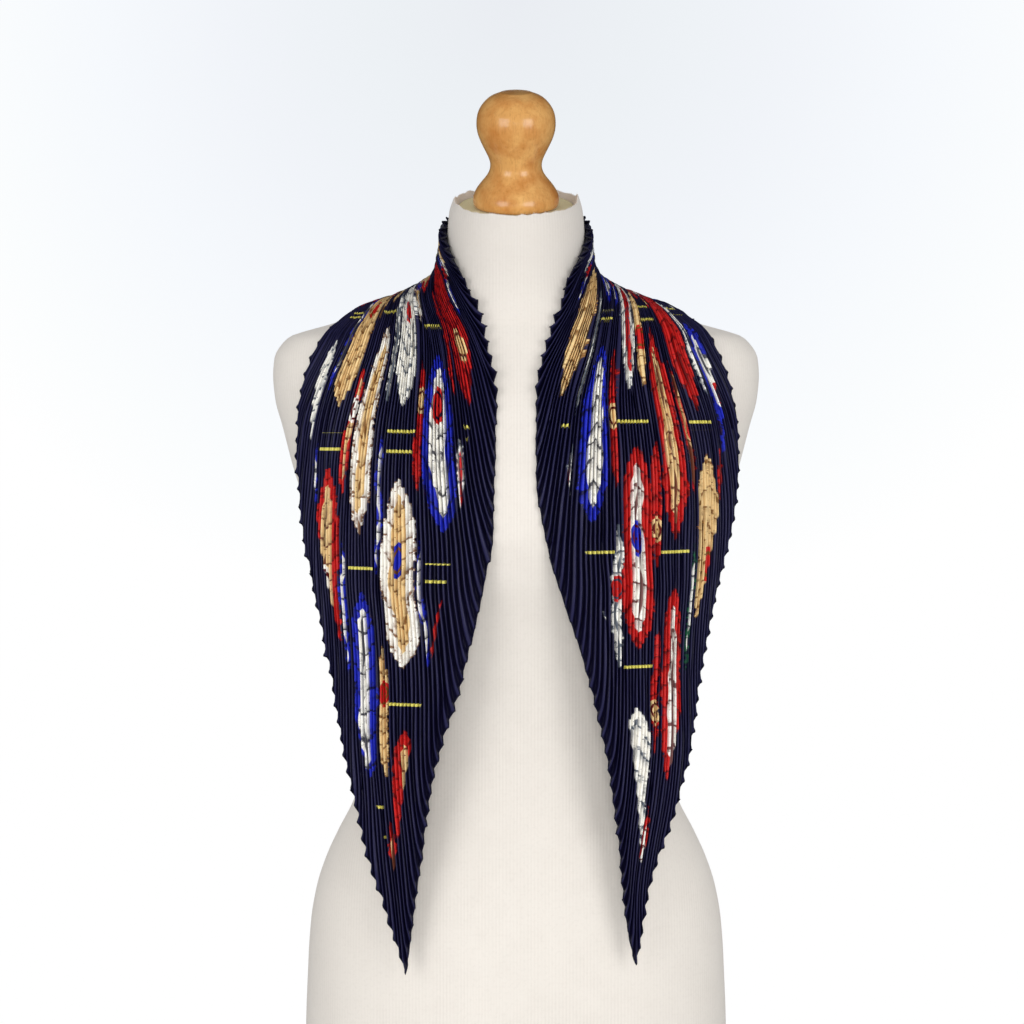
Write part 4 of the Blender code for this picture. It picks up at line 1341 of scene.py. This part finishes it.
# %% Paper sweep
SWEEP_HALF_WIDTH = 4.0
SWEEP_LINE = [(-4.2, 0.0), (2.9, 0.0), (3.25, 0.06), (3.52, 0.24), (3.68, 0.52), (3.72, 0.9), (3.72, 5.0)]
WALL_FROM, WALL_TO = 0.12, 0.32  # the floor's tone gives way to the wall's over these places
GREYEST, GREY_REACH = (0.0, 3.72, 1.015), 1.046  # painted shade: the glowing wall is greyest high up in the middle, white past this
# painted shade on the glowing wall, from its greyest place out to white
PAINTED_WALL_SHADE = [
    (0.0, linear(234, 237, 242)),
    (0.22, linear(237, 241, 245)),
    (0.42, linear(241, 244, 249)),
    (0.62, linear(246, 249, 253)),
    (0.84, linear(251, 253, 254)),
    (1.0, linear(255, 255, 255)),
]
sweep_points = [(x, y, z) for y, z in SWEEP_LINE for x in (-SWEEP_HALF_WIDTH, SWEEP_HALF_WIDTH)]
sweep_faces = [(2 * k, 2 * k + 1, 2 * k + 3, 2 * k + 2) for k in range(len(SWEEP_LINE) - 1)]
sweep_mesh = bpy.data.meshes.new("paper_sweep")
sweep_mesh.from_pydata(sweep_points, [], sweep_faces)
sweep_mesh.shade_smooth()
sweep = placed_in_scene("paper_sweep", sweep_mesh)
sweep.visible_diffuse = False
sweep.visible_glossy = False

paper = bpy.data.materials.new("white paper")
tree, shader = shader_of(paper, 0.9, Emission_Strength=1.0, Specular_IOR_Level=0.1)
spot = object_place(tree)
away = node(tree, "ShaderNodeVectorMath", {"operation": "DISTANCE"}, (spot, GREYEST), "Value")
wall = between(parts_of(spot)[1], WALL_FROM, WALL_TO)
near_paper = painted((226, 228, 232), (noise(spot, 3.0, 2.0), (222, 224, 229)))
plug(shader.inputs["Base Color"], mixed(wall, near_paper, (0, 0, 0, 1)))
# the wall glows with painted shade, greyest high up in the middle
plug(shader.inputs["Emission Color"], mixed(wall, linear(196, 197, 200), ramp(away / GREY_REACH, PAINTED_WALL_SHADE)))
sweep_mesh.materials.append(paper)
print("paper:", len(sweep_faces), "faces")

# %% White past the paper
world = bpy.data.worlds.new("white studio")
bpy.context.scene.world = world
world.use_nodes = True
world.cycles_visibility.glossy = False  # a dark studio: gloss shows the lamps alone
tree = world.node_tree
lighting = tree.nodes["Background"]
lighting.inputs["Color"].default_value = (0.97, 0.985, 1.0, 1)
lighting.inputs["Strength"].default_value = 0.52
seen_white = node(tree, "ShaderNodeBackground", Color=(1.0, 1.0, 1.0, 1))
to_camera = node(tree, "ShaderNodeLightPath", result="Is Camera Ray")
either = node(tree, "ShaderNodeMixShader", values=(to_camera, Wire(lighting.outputs[0]), seen_white))
plug(tree.nodes["World Output"].inputs[0], either)

# %% Lamps and camera, all aimed at one target
TARGET = Vector((-0.00284, 0.0, 0.42458))
LAMPS = table("name azimuth elevation distance size power shows_in_gloss", [
    ("soft_box_left", -35, 8, 2.5, 1.25, 16.5, True),
    ("soft_box_right", 34, 7, 2.6, 1.25, 19, True),
    ("low_front_fill", 1, 0, 4.2, 1.2, 45, False),
    ("glow_behind", 180, 15, 1.5, 0.7, 0.9, True),
    ("back_fill", 180, 8, 3.2, 1.2, 40, False),
])
CAMERA_AWAY, CAMERA_RISE, HALF_VIEW = 3.0, 3.5, 0.36352


def aimed(name, data, azimuth, elevation, distance):
    """A lamp or camera, seen from the target so far right of straight ahead and above level, in degrees."""
    a, e = math.radians(azimuth), math.radians(elevation)
    direction = Vector((math.sin(a) * math.cos(e), -math.cos(a) * math.cos(e), math.sin(e)))
    thing = placed_in_scene(name, data)
    thing.location = TARGET + direction * distance
    thing.rotation_euler = (TARGET - thing.location).to_track_quat("-Z", "Y").to_euler()
    return thing


for lamp in LAMPS:
    light = bpy.data.lights.new(lamp.name, "AREA")
    light.shape, light.size, light.energy = "SQUARE", lamp.size, lamp.power
    soft_box = aimed(lamp.name, light, lamp.azimuth, lamp.elevation, lamp.distance)
    soft_box.visible_glossy = lamp.shows_in_gloss
    soft_box.visible_camera = False
camera_data = bpy.data.cameras.new("camera")
camera_data.angle = 2 * math.atan(HALF_VIEW / CAMERA_AWAY)
bpy.context.scene.camera = aimed("camera", camera_data, 0, CAMERA_RISE, CAMERA_AWAY)
bpy.context.scene.view_settings.view_transform = "Standard"
print("studio is set with", len(LAMPS), "lamps")
